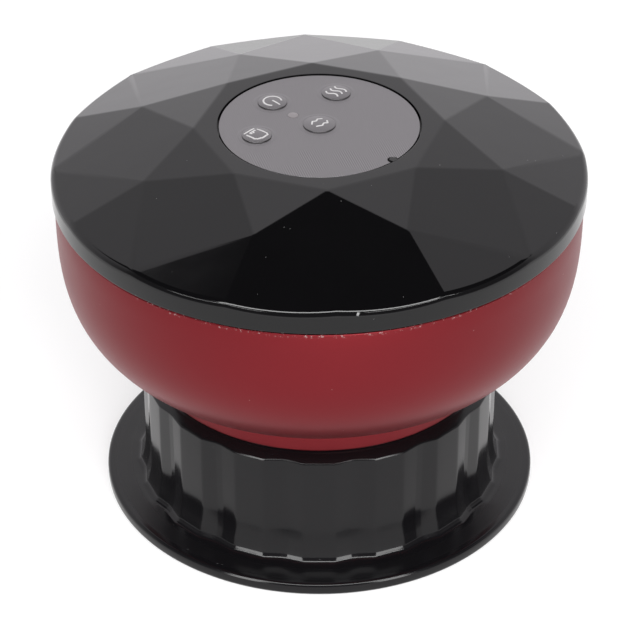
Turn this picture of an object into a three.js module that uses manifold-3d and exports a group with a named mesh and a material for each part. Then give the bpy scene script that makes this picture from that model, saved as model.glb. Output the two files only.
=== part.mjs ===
// Electric cupping massager: a fluted suction cup under a round powered head.
// Millimetres, +Z up. The cup's flange stands on z = 0 and its axis is x = y = 0.
// The photograph's near side is -Y.

import * as THREE from 'three';
import { mergeVertices } from 'three/addons/utils/BufferGeometryUtils.js';
import Module from 'manifold-3d';

const wasm = await Module();
wasm.setup();

// Fits shared by all pieces
const seatGap = 0.3;
const buttonGap = 0.25;
const screwHoleGap = 0.25;
const overrun = 1.5;
const joinDepth = 1;

// Suction cup
const flangeReach = 7.4;
const flangeThickness = 2.3;
const flangeEdgeRound = 0.7;
const footFillet = 0.7;
const cupHeight = 25.3;
const shoulderRise = 2.2;
const shoulderChamfer = 0.5;
const shoulderInset = 0.6;
const cupBoreRadius = 29.3;
const mouthChamfer = 0.8;
const cupWall = 3.3;
const fluteDepth = 0.9;
const wallDraft = 0.4;
const fluteCount = 16;
const ribFlatShare = 0.32;

// Housing bowl and its neck
const neckSeat = 1.6;
const neckHeight = 4.4;
const neckRound = 0.4;
const insideRoom = 1.9;
const bowlFootInset = 1.9;
const bowlWall = 2;
const floorLedge = 3;
const bellyDropPower = 3.556;
const bellyRoundPower = 1.671;

// Top cover, cut in facets
const bandStep = 0.45;
const bandHeight = 3.6;
const rimInset = 0.7;
const rimRise = 1.1;
const crownRise = 7.5;
const midCornerShare = 0.4656;
const tableRingWidth = 2.468;
const crownSides = 8;
const crownTurn = 3.5;
const coverWall = 2;
const lipDepth = 3;
const lipWall = 1.4;
const coverBossRadius = 3.2;

// Control panel, its buttons and its window
const panelRadius = 17.65;
const panelThickness = 1.2;
const recessFloor = 1.5;
const panelTurn = -133;
const tabRadius = 0.65;
const tabInset = 0.35;
const smallButtonRadius = 2.6;
const largeButtonRadius = 2.85;
const buttonProud = 0.45;
const buttonEdge = 0.3;
const buttonTravel = 0.4;
const buttonFlange = 0.8;
const buttonFlangeThickness = 0.8;
const buttonStemRadius = 1.3;
const powerButtonDrop = 11.4;
const sideButtonReach = 10.2;
const sideButtonDrop = 5.4;
const windowRadius = 0.9;
const windowReach = 0.7;
const windowDrop = 5.7;
const windowFlange = 0.6;
const windowFlangeThickness = 0.5;

// Control board and what it carries
const boardRoom = 1.6;
const boardRadius = 24;
const boardThickness = 1.6;
const switchWidth = 6;
const switchHeight = 2.4;
const switchCollarRadius = 1.7;
const switchCollarHeight = 0.4;
const ledWidth = 1.6;
const ledHeight = 0.9;
const chipWidth = 7;
const chipHeight = 1.2;
const chipPlace = 10;
const boardScrewInset = 3.6;
const boardBossRadius = 2.3;
const boardScrewRadius = 0.9;
const boardScrewLength = 5;
const boardScrewHeadRadius = 1.9;
const boardScrewHeadHeight = 1.2;

// Base plate inside the top of the cup
const spigotClearance = 0.9;
const spigotDepth = 6.8;
const skirtWall = 2.4;
const webThickness = 2.5;
const sealHeight = 1.8;
const sealRound = 0.4;
const sealGrooveDepth = 1.1;
const sealHeightInCup = 3.4;
const heatPlateThickness = 1.5;
const heatPlateInset = 1;
const heatingFilmThickness = 0.4;
const filterHoleRadius = 5.2;
const filterHeight = 1.3;
const grilleFlange = 1.2;
const grilleThickness = 0.6;
const grilleStubHeight = 0.9;
const grilleHoleRadius = 0.8;
const grilleHolePlace = 2.7;
const grilleHoleCount = 6;
const baseBossRadius = 4;
const baseBossHeight = 3.2;
const baseBossInset = 1;
const baseScrewTurn = 25;
const baseScrewCount = 3;
const baseScrewSeatDepth = 3.6;
const baseScrewLength = 10;

// Screws that hold the cover and the base
const screwRadius = 1.1;
const screwHeadRadius = 2.2;
const screwHeadHeight = 1.4;
const screwHeadTopShare = 0.75;
const screwSlotShare = 0.35;

// Chassis
const deckClearance = 0.967;
const deckThickness = 2;
const deckRise = 4;
const clampRingReach = 0.5;
const clampRingWall = 3;
const chassisBossRadius = 3.4;
const postRadius = 3.6;
const postLift = 1.2;
const postRoofThickness = 3.5;
const coverScrewLength = 9;
const postClearance = 0.48;
const rearPostTurn = 64.5;
const frontPostTurn = -60.6;
const ribThickness = 3;
const ribHeight = 7.5;
const ribOverhang = 0.6;
const hoseSlotGap = 0.5;
const hoseSlotStart = 2;

// Battery
const batteryRadius = 9;
const batteryLength = 65;
const batteryGap = 1.1;
const batteryRingDepth = 0.4;
const batteryRingWidth = 1.2;
const batteryRingPlace = 2.5;
const capRadius = 3;
const capHeight = 1;

// Straps over the battery and the two motors
const strapThickness = 0.6;
const strapWidth = 6;
const strapFoot = 3.2;
const batteryStrapX = 4;
const motorStrapX = 11;
const vibrationStrapInset = 4.3;

// Pump
const pumpY = -16;
const motorRadius = 10.2;
const motorLength = 26;
const motorBossRadius = 3.1;
const motorBossHeight = 1.6;
const motorTailRadius = 4;
const motorTailHeight = 1.6;
const grommetThickness = 1.5;
const grommetWidth = 4;
const frontGrommetX = 4;
const rearGrommetX = 18;
const shaftRadius = 1;
const shaftDepth = 8;
const shaftClearance = 0.3;
const crankGap = 1.8;
const eccentricRadius = 3.2;
const eccentricOffset = 1;
const eccentricThickness = 4;
const pumpWidth = 22;
const pumpCorner = 2;
const pumpBodyLength = 12;
const pumpWall = 1.8;
const crankRadius = 7.6;
const diaphragmThickness = 1;
const diaphragmRadius = 9.6;
const diaphragmNub = 1.4;
const diaphragmNubRadius = 2.2;
const pumpCapLength = 7;
const pumpPocketRadius = 3;
const pumpPocketDepth = 4;
const barbSpread = 4.2;

// Hoses, barbs and the manifold
const barbRadius = 1.3;
const barbBoreRadius = 0.7;
const barbLength = 3.6;
const barbTipShare = 0.7;
const hoseRadius = 2.6;
const hoseClearance = 0.3;
const manifoldWidth = 6;
const manifoldCorner = 1;
const hoseEndGap = 0.6;
const hoseBridge = 0.8;

// Release valve
const coilWall = 1.6;
const valveBodyHeight = 8;
const valveCorner = 1;
const valveY = 2;
const valveLift = 2;
const pedestalWidth = 6;
const valveFrameHeight = 12;
const valveFrameWall = 1.2;
const coilFlange = 0.9;
const coilInset = 0.3;
const plungerRadius = 1.6;
const plungerClearance = 0.3;
const plungerDepth = 3.6;
const plungerHeadRadius = 2.7;
const plungerHeadHeight = 0.8;
const plungerTravel = 0.8;
const springWire = 0.25;
const springRadius = 2.15;
const springTurns = 4;
const springTurnSteps = 8;
const springSides = 5;
const springHeight = 2.4;

// Vibration motor
const vibrationGap = 1.2;
const vibrationRadius = 6;
const vibrationLength = 19;
const vibrationSideGap = 0.6;
const weightRadius = 4.8;
const weightThickness = 4.5;
const weightHubRadius = 1.8;
const weightGap = 0.7;

// Charging socket and its board
const socketWidth = 9;
const socketHeight = 3.3;
const socketDepth = 7.6;
const socketWall = 0.4;
const tongueWidth = 6.4;
const tongueHeight = 0.8;
const tongueDepth = 5;
const tongueRecess = 1;
const socketCornerInset = 0.15;
const socketFaceInset = 0.9;
const socketOpeningGap = 0.4;
const chargeBoardWidth = 16;
const chargeBoardDepth = 13.5;
const chargeBoardThickness = 1.2;
const chargeBoardLift = 11.2;
const chargeBoardInset = 3.25;
const pegRadius = 2;
const pegX = 4.5;
const pegInset = 3.6;

// Wires
const wireRadius = 0.8;
const wireGap = 0.5;
const wireBow = 5;

// How finely round pieces are cut
const fineSides = 48;
const mediumSides = 32;
const smallSides = 16;
const tinySides = 10;
const hoseSides = 8;
const wireSides = 6;
const wireSteps = 12;
const hoseSteps = 18;
const weightArcSteps = 8;
const bowlSteps = 8;
const bowlInsideSteps = 6;

// Heights worked out from the sizes above, from the cup up to the deck
const cupShoulderZ = cupHeight - shoulderRise;
const neckBottomZ = cupHeight + seatGap;
const bowlBottomZ = neckBottomZ + neckHeight;
const bowlFloorZ = bowlBottomZ + bowlWall;
const baseBottomZ = neckBottomZ - spigotDepth;
const baseTopZ = bowlBottomZ - seatGap;
const heatPlateZ = baseBottomZ + heatPlateInset;
const heatingFilmZ = heatPlateZ + heatPlateThickness + seatGap;
const webBottomZ = heatingFilmZ + heatingFilmThickness + seatGap;
const webTopZ = webBottomZ + webThickness;
const baseScrewSeatZ = webBottomZ + baseScrewSeatDepth;
const baseBossTopZ = webTopZ + baseBossHeight;
const deckBottomZ = bowlFloorZ + deckRise;
const deckTopZ = deckBottomZ + deckThickness;
const grommetRadius = motorRadius + seatGap + grommetThickness;
const batteryZ = deckTopZ + seatGap + batteryRadius;
const pumpHalfHeight = Math.max(grommetRadius, pumpWidth / 2);
const pumpZ = deckTopZ + seatGap + pumpHalfHeight;
const vibrationZ = deckTopZ + seatGap + vibrationRadius;
const inletZ = pumpZ - barbSpread;

// From the pump, the tallest piece inside, up to the table, and back down to the bowl's rim
const boardBottomZ = pumpZ + pumpHalfHeight + boardRoom;
const boardTopZ = boardBottomZ + boardThickness;
const switchTopZ = boardTopZ + seatGap + switchHeight + switchCollarHeight;
const stemZ = switchTopZ + seatGap + buttonTravel;
const buttonFlangeZ = stemZ + buttonTravel;
const buttonFlangeTopZ = buttonFlangeZ + buttonFlangeThickness;
const recessUnderZ = buttonFlangeTopZ + seatGap;
const recessZ = recessUnderZ + recessFloor;
const tableZ = recessZ + seatGap + panelThickness;
const rimZ = tableZ - crownRise;
const bandTopZ = rimZ - rimRise;
const bandBottomZ = bandTopZ - bandHeight;
const bowlTopZ = bandBottomZ - seatGap;
const bowlHeight = bowlTopZ - bowlBottomZ;
const postTopZ = bandBottomZ - lipDepth;

// Places of the battery, the vibration motor and the air fittings, side by side
const vibrationY = pumpY + pumpWidth / 2 + vibrationGap + vibrationRadius;
const batteryY = vibrationY + vibrationRadius + batteryGap + batteryRadius;
const barbStartX = -(seatGap + pumpBodyLength + seatGap + diaphragmThickness + seatGap + pumpCapLength);
const manifoldX = barbStartX - barbLength - hoseBridge - barbLength - manifoldWidth / 2;
const shaftReach = seatGap + pumpBodyLength + seatGap - diaphragmNub - crankGap;
const hoseBoreRadius = barbRadius + hoseClearance;
const plungerBoreRadius = plungerRadius + plungerClearance;
const coilRim = plungerBoreRadius + coilWall;
const valveWidth = 2 * (coilRim + seatGap + valveFrameWall);
const vibrationX = manifoldX + valveWidth / 2 + vibrationSideGap;
const vibrationStrapX = vibrationX + vibrationStrapInset;

// Radii of the cup and what fits in it or stands on it
const ribRadius = cupBoreRadius + cupWall;
const flangeRadius = ribRadius + flangeReach;
const neckRadius = cupBoreRadius + neckSeat;
const bowlFootRadius = neckRadius - bowlFootInset;
const floorOpeningRadius = bowlFootRadius - floorLedge;
const spigotRadius = cupBoreRadius - spigotClearance;
const clampRingRadius = bowlFootRadius + clampRingReach;
const baseScrewPlace = spigotRadius - skirtWall - baseBossRadius - baseBossInset;

// The bowl's rim is as wide as the pieces inside need, each at its own height
const insideCorners = [
  [batteryLength / 2, batteryY + batteryRadius, batteryZ],
  [manifoldX - manifoldWidth / 2, pumpY - manifoldWidth / 2, inletZ - manifoldWidth / 2],
  [manifoldX - valveWidth / 2, valveY + valveWidth / 2, deckTopZ + valveLift],
  [barbStartX, pumpY - pumpWidth / 2, pumpZ - pumpWidth / 2],
];
const bowlRimRadius = bowlWall + Math.max(...insideCorners.map(([x, y, z]) => (
  bowlFootRadius + (Math.hypot(x, y) + insideRoom - bowlFootRadius) / bellyShareAt(z))));
const bandRadius = bowlRimRadius + bandStep;
const rimCornerRadius = bandRadius - rimInset;
const recessRadius = panelRadius + seatGap;
const tableCornerRadius = (recessRadius + tableRingWidth) / Math.cos(Math.PI / crownSides);
const midCornerRadius = tableCornerRadius + (rimCornerRadius - tableCornerRadius) * midCornerShare;

// The deck, its posts and the charging socket follow the bowl's inner wall
const deckRadius = insideRadiusAt(deckBottomZ) - deckClearance;
const postCircle = insideRadiusAt(deckTopZ + postLift) - postClearance - postRadius;
const [rearPostX, rearPostY] = onCircle(postCircle, rearPostTurn);
const [frontPostX, frontPostY] = onCircle(postCircle, frontPostTurn);
const boardScrewPlace = boardRadius - boardScrewInset;
const socketZ = deckTopZ + chargeBoardLift + chargeBoardThickness + seatGap;
const socketFaceY = bowlRimRadius - socketFaceInset;
const chargeBoardFront = socketFaceY - chargeBoardInset - chargeBoardDepth;
const pegY = chargeBoardFront + pegInset;

function bellyShareAt(z) {
  const dropShare = 1 - (z - bowlFloorZ) / (bowlHeight - bowlWall);
  return (1 - dropShare ** bellyDropPower) ** (1 / bellyRoundPower);
}

function insideRadiusAt(z) {
  return bowlFootRadius + (bowlRimRadius - bowlWall - bowlFootRadius) * bellyShareAt(z);
}

const massager = new THREE.Group();

// Finishes, as colour, roughness and metalness

const finishes = {
  blackGloss: [0x111114, 0.12, 0],
  redSatin: [0x902e35, 0.38, 0.35],
  greySatin: [0x8a888b, 0.35, 0.6],
  buttonGrey: [0x77757a, 0.4, 0.5],
  clearWindow: [0xd8dde0, 0.15, 0],
  blackMatt: [0x232327, 0.6, 0],
  silicone: [0xb8b4ae, 0.7, 0],
  darkRubber: [0x2a2a2c, 0.85, 0],
  heatMetal: [0xb9bbbd, 0.3, 0.9],
  amberFilm: [0xb5702a, 0.4, 0],
  foam: [0xd9d6cc, 0.95, 0],
  frameWhite: [0xd4d2cb, 0.55, 0],
  boardGreen: [0x1f5b3a, 0.5, 0],
  steel: [0xa9abae, 0.35, 0.9],
  copper: [0xa85f32, 0.4, 0.8],
  cellSleeve: [0x2f6fa8, 0.35, 0],
  redWire: [0xb02020, 0.5, 0],
  blackWire: [0x18181a, 0.5, 0],
  whitePlastic: [0xe4e2dc, 0.5, 0],
};

// Closed solids from three.js geometries, joined and cut

function solidOf(geometry) {
  const bare = geometry.index ? geometry.toNonIndexed() : geometry.clone();
  bare.deleteAttribute('normal');
  bare.deleteAttribute('uv');
  const welded = mergeVertices(bare);
  return new wasm.Manifold(new wasm.Mesh({
    numProp: 3,
    vertProperties: new Float32Array(welded.attributes.position.array),
    triVerts: new Uint32Array(welded.index.array),
  }));
}

function asSolid(shape) {
  return shape instanceof THREE.BufferGeometry ? solidOf(shape) : shape;
}

function join(...shapes) {
  return shapes.map(asSolid).reduce((sum, shape) => sum.add(shape));
}

function cut(base, ...tools) {
  return tools.map(asSolid).reduce((rest, tool) => rest.subtract(tool), asSolid(base));
}

function geometryOf(shape) {
  if (shape instanceof THREE.BufferGeometry) return shape;
  const mesh = shape.getMesh();
  const geometry = new THREE.BufferGeometry();
  geometry.setAttribute('position', new THREE.BufferAttribute(new Float32Array(mesh.vertProperties), 3));
  geometry.setIndex(new THREE.BufferAttribute(new Uint32Array(mesh.triVerts), 1));
  geometry.computeVertexNormals();
  return geometry;
}

function addPiece(name, shape, finish, place = [0, 0, 0], group = massager) {
  const [color, roughness, metalness] = finishes[finish];
  const material = new THREE.MeshStandardMaterial({ color, roughness, metalness });
  const piece = new THREE.Mesh(geometryOf(shape), material);
  piece.name = name;
  piece.position.set(...place);
  group.add(piece);
  return piece;
}

function addGroup(place, turn = [0, 0, 0], parent = massager) {
  const group = new THREE.Group();
  group.position.set(...place);
  group.rotation.set(...turn.map(THREE.MathUtils.degToRad));
  parent.add(group);
  return group;
}

// Plain forms that stand on z = 0, moved by an offset

function revolve(section, sides) {
  const points = section.map(([r, z]) => new THREE.Vector2(r, z));
  return new THREE.LatheGeometry(points, sides).rotateX(Math.PI / 2);
}

function turned(outline, sides, offset = [0, 0, 0]) {
  const closed = [...outline, outline[0]];
  return revolve(closed, sides).translate(...offset);
}

function rod(radius, height, sides, offset = [0, 0, 0]) {
  return revolve([[0, 0], [radius, 0], [radius, height], [0, height]], sides).translate(...offset);
}

function softRod(radius, height, edge, sides) {
  return revolve([
    [0, 0], [radius, 0], [radius, height - edge], [radius - edge, height], [0, height],
  ], sides);
}

function tube(outer, inner, height, sides, offset = [0, 0, 0]) {
  return turned([[inner, 0], [outer, 0], [outer, height], [inner, height]], sides, offset);
}

function block(width, depth, height, offset = [0, 0, 0]) {
  return new THREE.BoxGeometry(width, depth, height).translate(0, 0, height / 2).translate(...offset);
}

function plate(outline, height) {
  return new THREE.ExtrudeGeometry(outline, { depth: height, bevelEnabled: false });
}

function roundedOutline(width, depth, corner) {
  const shape = new THREE.Shape();
  const x = width / 2 - corner;
  const y = depth / 2 - corner;
  shape.absarc(x, y, corner, 0, Math.PI / 2);
  shape.absarc(-x, y, corner, Math.PI / 2, Math.PI);
  shape.absarc(-x, -y, corner, Math.PI, Math.PI * 3 / 2);
  shape.absarc(x, -y, corner, Math.PI * 3 / 2, Math.PI * 2);
  return shape;
}

function roundedBlock(width, depth, height, corner) {
  const outline = new THREE.Shape(roundedOutline(width, depth, corner).getPoints(2));
  return plate(outline, height);
}

function alongX(geometry) {
  return geometry.rotateY(Math.PI / 2);
}

function alongY(geometry) {
  return geometry.rotateX(-Math.PI / 2);
}

function onCircle(radius, degrees) {
  const angle = THREE.MathUtils.degToRad(degrees);
  return [radius * Math.cos(angle), radius * Math.sin(angle)];
}

// A skin of equal rings of points: closed on itself, or capped by a fan at each end

function ringSkin(rings, looped) {
  const count = rings[0].length;
  const positions = rings.flat(2);
  const faces = [];
  const bands = looped ? rings.length : rings.length - 1;
  for (let band = 0; band < bands; band += 1) {
    const low = band * count;
    const high = ((band + 1) % rings.length) * count;
    for (let i = 0; i < count; i += 1) {
      const next = (i + 1) % count;
      faces.push(low + i, low + next, high + next);
      faces.push(low + i, high + next, high + i);
    }
  }
  const geometry = new THREE.BufferGeometry();
  geometry.setAttribute('position', new THREE.Float32BufferAttribute(positions, 3));
  geometry.setIndex(faces);
  return geometry;
}

// Suction cup: flange, fluted wall and sloped shoulder round an open bore

function cupShape() {
  const pitch = 360 / fluteCount;
  const half = pitch * ribFlatShare / 2;
  const corners = [];
  for (let rib = 0; rib < fluteCount; rib += 1) {
    const centre = rib * pitch - 90;
    [-half, half, pitch / 2 - half, pitch / 2 + half].forEach((turn, index) => {
      corners.push({ degrees: centre + turn, valley: index < 2 ? 0 : 1 });
    });
  }
  const footRadius = ribRadius + wallDraft;
  const section = [
    [cupBoreRadius + mouthChamfer, 0, 0],
    [flangeRadius - flangeEdgeRound, 0, 0],
    [flangeRadius, flangeEdgeRound, 0],
    [flangeRadius, flangeThickness - flangeEdgeRound, 0],
    [flangeRadius - flangeEdgeRound, flangeThickness, 0],
    [footRadius + footFillet, flangeThickness, 1],
    [footRadius, flangeThickness + footFillet, 1],
    [ribRadius, cupShoulderZ - shoulderChamfer, 1],
    [ribRadius - shoulderChamfer, cupShoulderZ, 1],
    [neckRadius, cupHeight - shoulderInset, 0],
    [neckRadius - shoulderInset, cupHeight, 0],
    [cupBoreRadius, cupHeight, 0],
    [cupBoreRadius, mouthChamfer, 0],
  ];
  const flatShare = Math.cos(THREE.MathUtils.degToRad(half));
  const rings = section.map(([radius, z, fluteShare]) => corners.map(({ degrees, valley }) => {
    const depth = fluteDepth * fluteShare * valley;
    const [x, y] = onCircle((radius - depth) / flatShare, degrees);
    return [x, y, z];
  }));
  return ringSkin(rings, true);
}

// Housing bowl: one rounded belly over a straight neck, with the charging socket's opening

function bellyCurve(rimRadius, height, startRadius, bottomZ, steps) {
  const span = rimRadius - bowlFootRadius;
  const startShare = (startRadius - bowlFootRadius) / span;
  const start = Math.asin(startShare ** (bellyRoundPower / 2));
  const points = [];
  for (let step = 0; step <= steps; step += 1) {
    const angle = start + (Math.PI / 2 - start) * step / steps;
    const outShare = Math.sin(angle) ** (2 / bellyRoundPower);
    const dropShare = Math.abs(Math.cos(angle)) ** (2 / bellyDropPower);
    points.push([bowlFootRadius + span * outShare, bottomZ + height * (1 - dropShare)]);
  }
  return points;
}

function bowlShape() {
  const outside = bellyCurve(bowlRimRadius, bowlHeight, neckRadius, bowlBottomZ, bowlSteps);
  const inside = bellyCurve(bowlRimRadius - bowlWall, bowlHeight - bowlWall, bowlFootRadius, bowlFloorZ,
    bowlInsideSteps);
  const neckBoreRadius = spigotRadius + seatGap;
  const shell = turned([
    [neckBoreRadius, neckBottomZ],
    [neckRadius - neckRound, neckBottomZ],
    [neckRadius, neckBottomZ + neckRound],
    ...outside,
    ...inside.reverse(),
    [floorOpeningRadius, bowlFloorZ],
    [floorOpeningRadius, bowlBottomZ],
    [neckBoreRadius, bowlBottomZ],
  ], fineSides);
  return cut(shell, socketOpening());
}

// Top cover: gem facets over a round band, hollow, with the panel's recess and screw bosses

function crownShape(band, bottomZ, topZ, rim, cornerZ, mid, table, flatZ) {
  const perSide = fineSides / (2 * crownSides);
  const positions = [];
  const faces = [];
  const pitch = 360 / crownSides;
  const flatShare = Math.cos(Math.PI / fineSides);
  const addPoint = (radius, degrees, z) => {
    positions.push(...onCircle(radius, degrees), z);
    return positions.length / 3 - 1;
  };
  const bottom = [];
  const top = [];
  const edge = [];
  for (let i = 0; i < fineSides; i += 1) {
    const degrees = crownTurn + i * 360 / fineSides;
    bottom.push(addPoint(band / flatShare, degrees, bottomZ));
    top.push(addPoint(band / flatShare, degrees, topZ));
    const corner = Math.floor(i / perSide);
    const share = (i % perSide) / perSide;
    const [fromX, fromY] = onCircle(rim, crownTurn + corner * pitch / 2);
    const [toX, toY] = onCircle(rim, crownTurn + (corner + 1) * pitch / 2);
    positions.push(fromX + (toX - fromX) * share, fromY + (toY - fromY) * share, cornerZ);
    edge.push(positions.length / 3 - 1);
  }
  const midReach = mid * Math.cos(Math.PI / crownSides);
  const midZ = flatZ - (flatZ - cornerZ) * (midReach - table) / (rim - table);
  const inner = [];
  const middle = [];
  for (let side = 0; side < crownSides; side += 1) {
    inner.push(addPoint(table, crownTurn + side * pitch, flatZ));
    middle.push(addPoint(mid, crownTurn + (side + 0.5) * pitch, midZ));
  }
  const under = addPoint(0, 0, bottomZ);
  const centre = addPoint(0, 0, flatZ);
  for (let i = 0; i < fineSides; i += 1) {
    const next = (i + 1) % fineSides;
    faces.push(under, bottom[next], bottom[i]);
    faces.push(bottom[i], bottom[next], top[next], bottom[i], top[next], top[i]);
    faces.push(top[i], top[next], edge[next], top[i], edge[next], edge[i]);
  }
  for (let side = 0; side < crownSides; side += 1) {
    const next = (side + 1) % crownSides;
    const before = (side + crownSides - 1) % crownSides;
    faces.push(centre, inner[side], inner[next]);
    faces.push(inner[side], middle[side], inner[next]);
    const rimCorner = edge[2 * side * perSide];
    faces.push(inner[side], middle[before], rimCorner, inner[side], rimCorner, middle[side]);
    for (let i = 0; i < 2 * perSide; i += 1) {
      const from = edge[2 * side * perSide + i];
      const to = edge[(2 * side * perSide + i + 1) % fineSides];
      faces.push(middle[side], from, to);
    }
  }
  const geometry = new THREE.BufferGeometry();
  geometry.setAttribute('position', new THREE.Float32BufferAttribute(positions, 3));
  geometry.setIndex(faces);
  return geometry;
}

const postPlaces = [
  [rearPostX, rearPostY],
  [-rearPostX, rearPostY],
  [-frontPostX, frontPostY],
  [frontPostX, frontPostY],
];

const buttonPlaces = {
  power: [0, -powerButtonDrop],
  heat: [-sideButtonReach, -sideButtonDrop],
  vibration: [0, 0],
  mode: [sideButtonReach, -sideButtonDrop],
};

const boardScrewPlaces = [[boardScrewPlace, 0], [-boardScrewPlace, 0]];

function turnedWithPanel([x, y]) {
  const angle = THREE.MathUtils.degToRad(panelTurn);
  return [x * Math.cos(angle) - y * Math.sin(angle), x * Math.sin(angle) + y * Math.cos(angle)];
}

function buttonRadiusOf(name) {
  return name === 'vibration' ? largeButtonRadius : smallButtonRadius;
}

function coverShape() {
  const outside = crownShape(bandRadius, bandBottomZ, bandTopZ, rimCornerRadius, rimZ,
    midCornerRadius, tableCornerRadius, tableZ);
  const inside = crownShape(bandRadius - coverWall, bandBottomZ - overrun, bandTopZ - coverWall / 2,
    rimCornerRadius - coverWall, rimZ - coverWall, midCornerRadius - coverWall / 2,
    tableCornerRadius, tableZ - coverWall);
  const lipRadius = bowlRimRadius - bowlWall - seatGap;
  const lip = turned([
    [lipRadius - lipWall, postTopZ],
    [lipRadius, postTopZ],
    [lipRadius, bandBottomZ],
    [bandRadius - coverWall / 2, bandBottomZ],
    [bandRadius - coverWall / 2, bandTopZ - coverWall / 2],
    [lipRadius - lipWall, bandBottomZ + lipWall],
  ], fineSides);
  const cup = rod(recessRadius + coverWall, recessFloor + coverWall / 2, mediumSides, [0, 0, recessUnderZ]);
  const wallMiddle = solidOf(crownShape(bandRadius - coverWall / 2, postTopZ, bandTopZ - coverWall / 2,
    rimCornerRadius - coverWall / 2, rimZ - coverWall / 2, midCornerRadius - coverWall / 2,
    tableCornerRadius, tableZ - coverWall / 2));
  const bosses = postPlaces.map(([x, y]) => (
    asSolid(rod(coverBossRadius, tableZ - postTopZ, tinySides, [x, y, postTopZ + seatGap]))
      .intersect(wallMiddle)));
  const boardBosses = boardScrewPlaces.map((place) => {
    const [x, y] = turnedWithPanel(place);
    return rod(boardBossRadius, tableZ - coverWall - boardTopZ, tinySides, [x, y, boardTopZ + seatGap]);
  });
  const hollow = cut(outside, inside);
  const filled = join(hollow, lip, cup, ...bosses, ...boardBosses);
  const recess = rod(recessRadius, tableZ - recessZ + overrun, mediumSides, [0, 0, recessZ]);
  const screwHoles = postPlaces.map(([x, y]) => (
    rod(screwRadius + screwHoleGap, coverScrewLength, tinySides, [x, y, postTopZ - overrun])));
  const boardHoles = boardScrewPlaces.map((place) => {
    const [x, y] = turnedWithPanel(place);
    return rod(boardScrewRadius + screwHoleGap, boardScrewLength, tinySides, [x, y, boardBottomZ]);
  });
  const buttonHoles = Object.entries(buttonPlaces).map(([name, place]) => {
    const [x, y] = turnedWithPanel(place);
    return rod(buttonRadiusOf(name) + buttonGap, recessFloor + 2 * overrun, smallSides,
      [x, y, recessUnderZ - overrun]);
  });
  const [windowX, windowY] = turnedWithPanel([windowReach, -windowDrop]);
  const windowHole = rod(windowRadius + buttonGap, recessFloor + 2 * overrun, tinySides,
    [windowX, windowY, recessUnderZ - overrun]);
  const [tabX, tabY] = turnedWithPanel([0, panelRadius - tabInset]);
  const tab = rod(tabRadius, tableZ - recessUnderZ, tinySides, [tabX, tabY, recessUnderZ]);
  return join(cut(filled, recess, windowHole, ...screwHoles, ...boardHoles, ...buttonHoles), tab);
}

// Control panel, its buttons, window, board and switches, turned together

function panelShape() {
  const disc = rod(panelRadius, panelThickness, fineSides);
  const holes = Object.entries(buttonPlaces).map(([name, [x, y]]) => (
    rod(buttonRadiusOf(name) + buttonGap, panelThickness + 2 * overrun, smallSides, [x, y, -overrun])));
  const windowHole = rod(windowRadius + buttonGap, panelThickness + 2 * overrun, tinySides,
    [windowReach, -windowDrop, -overrun]);
  const notch = rod(tabRadius + seatGap, panelThickness + 2 * overrun, tinySides,
    [0, panelRadius - tabInset, -overrun]);
  return cut(disc, windowHole, notch, ...holes);
}

function buttonShape(radius) {
  const capHeightOverFlange = tableZ + buttonProud - buttonFlangeZ;
  return join(
    softRod(radius, capHeightOverFlange, buttonEdge, smallSides),
    rod(radius + buttonFlange, buttonFlangeThickness, smallSides),
    rod(buttonStemRadius, buttonFlangeThickness, tinySides, [0, 0, stemZ - buttonFlangeZ]),
  );
}

function addControls() {
  const controls = addGroup([0, 0, 0], [0, 0, panelTurn]);
  addPiece('control_panel', panelShape(), 'greySatin', [0, 0, recessZ + seatGap], controls);
  for (const [name, [x, y]] of Object.entries(buttonPlaces)) {
    const radius = buttonRadiusOf(name);
    addPiece(`${name}_button`, buttonShape(radius), 'buttonGrey', [x, y, buttonFlangeZ], controls);
    const body = join(
      block(switchWidth, switchWidth, switchHeight),
      rod(switchCollarRadius, switchHeight + switchCollarHeight, tinySides),
    );
    addPiece(`${name}_switch`, body, 'blackMatt', [x, y, boardTopZ + seatGap], controls);
  }
  const windowBottomZ = boardTopZ + seatGap + ledHeight + seatGap;
  const window = join(
    rod(windowRadius, tableZ - windowBottomZ, tinySides),
    rod(windowRadius + windowFlange, windowFlangeThickness, tinySides,
      [0, 0, buttonFlangeTopZ - windowFlangeThickness - windowBottomZ]),
  );
  addPiece('indicator_window', window, 'clearWindow', [windowReach, -windowDrop, windowBottomZ], controls);
  addPiece('indicator_led', block(ledWidth, ledWidth, ledHeight), 'whitePlastic',
    [windowReach, -windowDrop, boardTopZ + seatGap], controls);
  addPiece('control_chip', block(chipWidth, chipWidth, chipHeight), 'blackMatt',
    [0, chipPlace, boardTopZ + seatGap], controls);
  const boardHoles = boardScrewPlaces.map(([x, y]) => (
    rod(boardScrewRadius + screwHoleGap, boardThickness + 2 * overrun, tinySides, [x, y, -overrun])));
  addPiece('control_board', cut(rod(boardRadius, boardThickness, mediumSides), ...boardHoles),
    'boardGreen', [0, 0, boardBottomZ], controls);
  boardScrewPlaces.forEach(([x, y], index) => {
    const screw = screwShape(boardScrewRadius, boardScrewLength - seatGap, boardScrewHeadRadius,
      boardScrewHeadHeight);
    addPiece(`board_screw_${index + 1}`, screw, 'steel',
      [x, y, boardBottomZ - seatGap - boardScrewHeadHeight], controls);
  });
}

// A pan-head screw with a slot, head down, point up

function screwShape(radius, length, headRadius, headHeight) {
  const slotWidth = headRadius * screwSlotShare;
  const body = revolve([
    [0, 0],
    [headRadius * screwHeadTopShare, 0],
    [headRadius, headHeight / 2],
    [headRadius, headHeight],
    [radius, headHeight],
    [radius, headHeight + length - radius],
    [0, headHeight + length],
  ], tinySides);
  return cut(body, block(2 * headRadius + overrun, slotWidth, headHeight, [0, 0, -headHeight / 2]));
}

// Base plate: a spigot in the cup's bore that carries the heater, filter and seal

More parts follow.
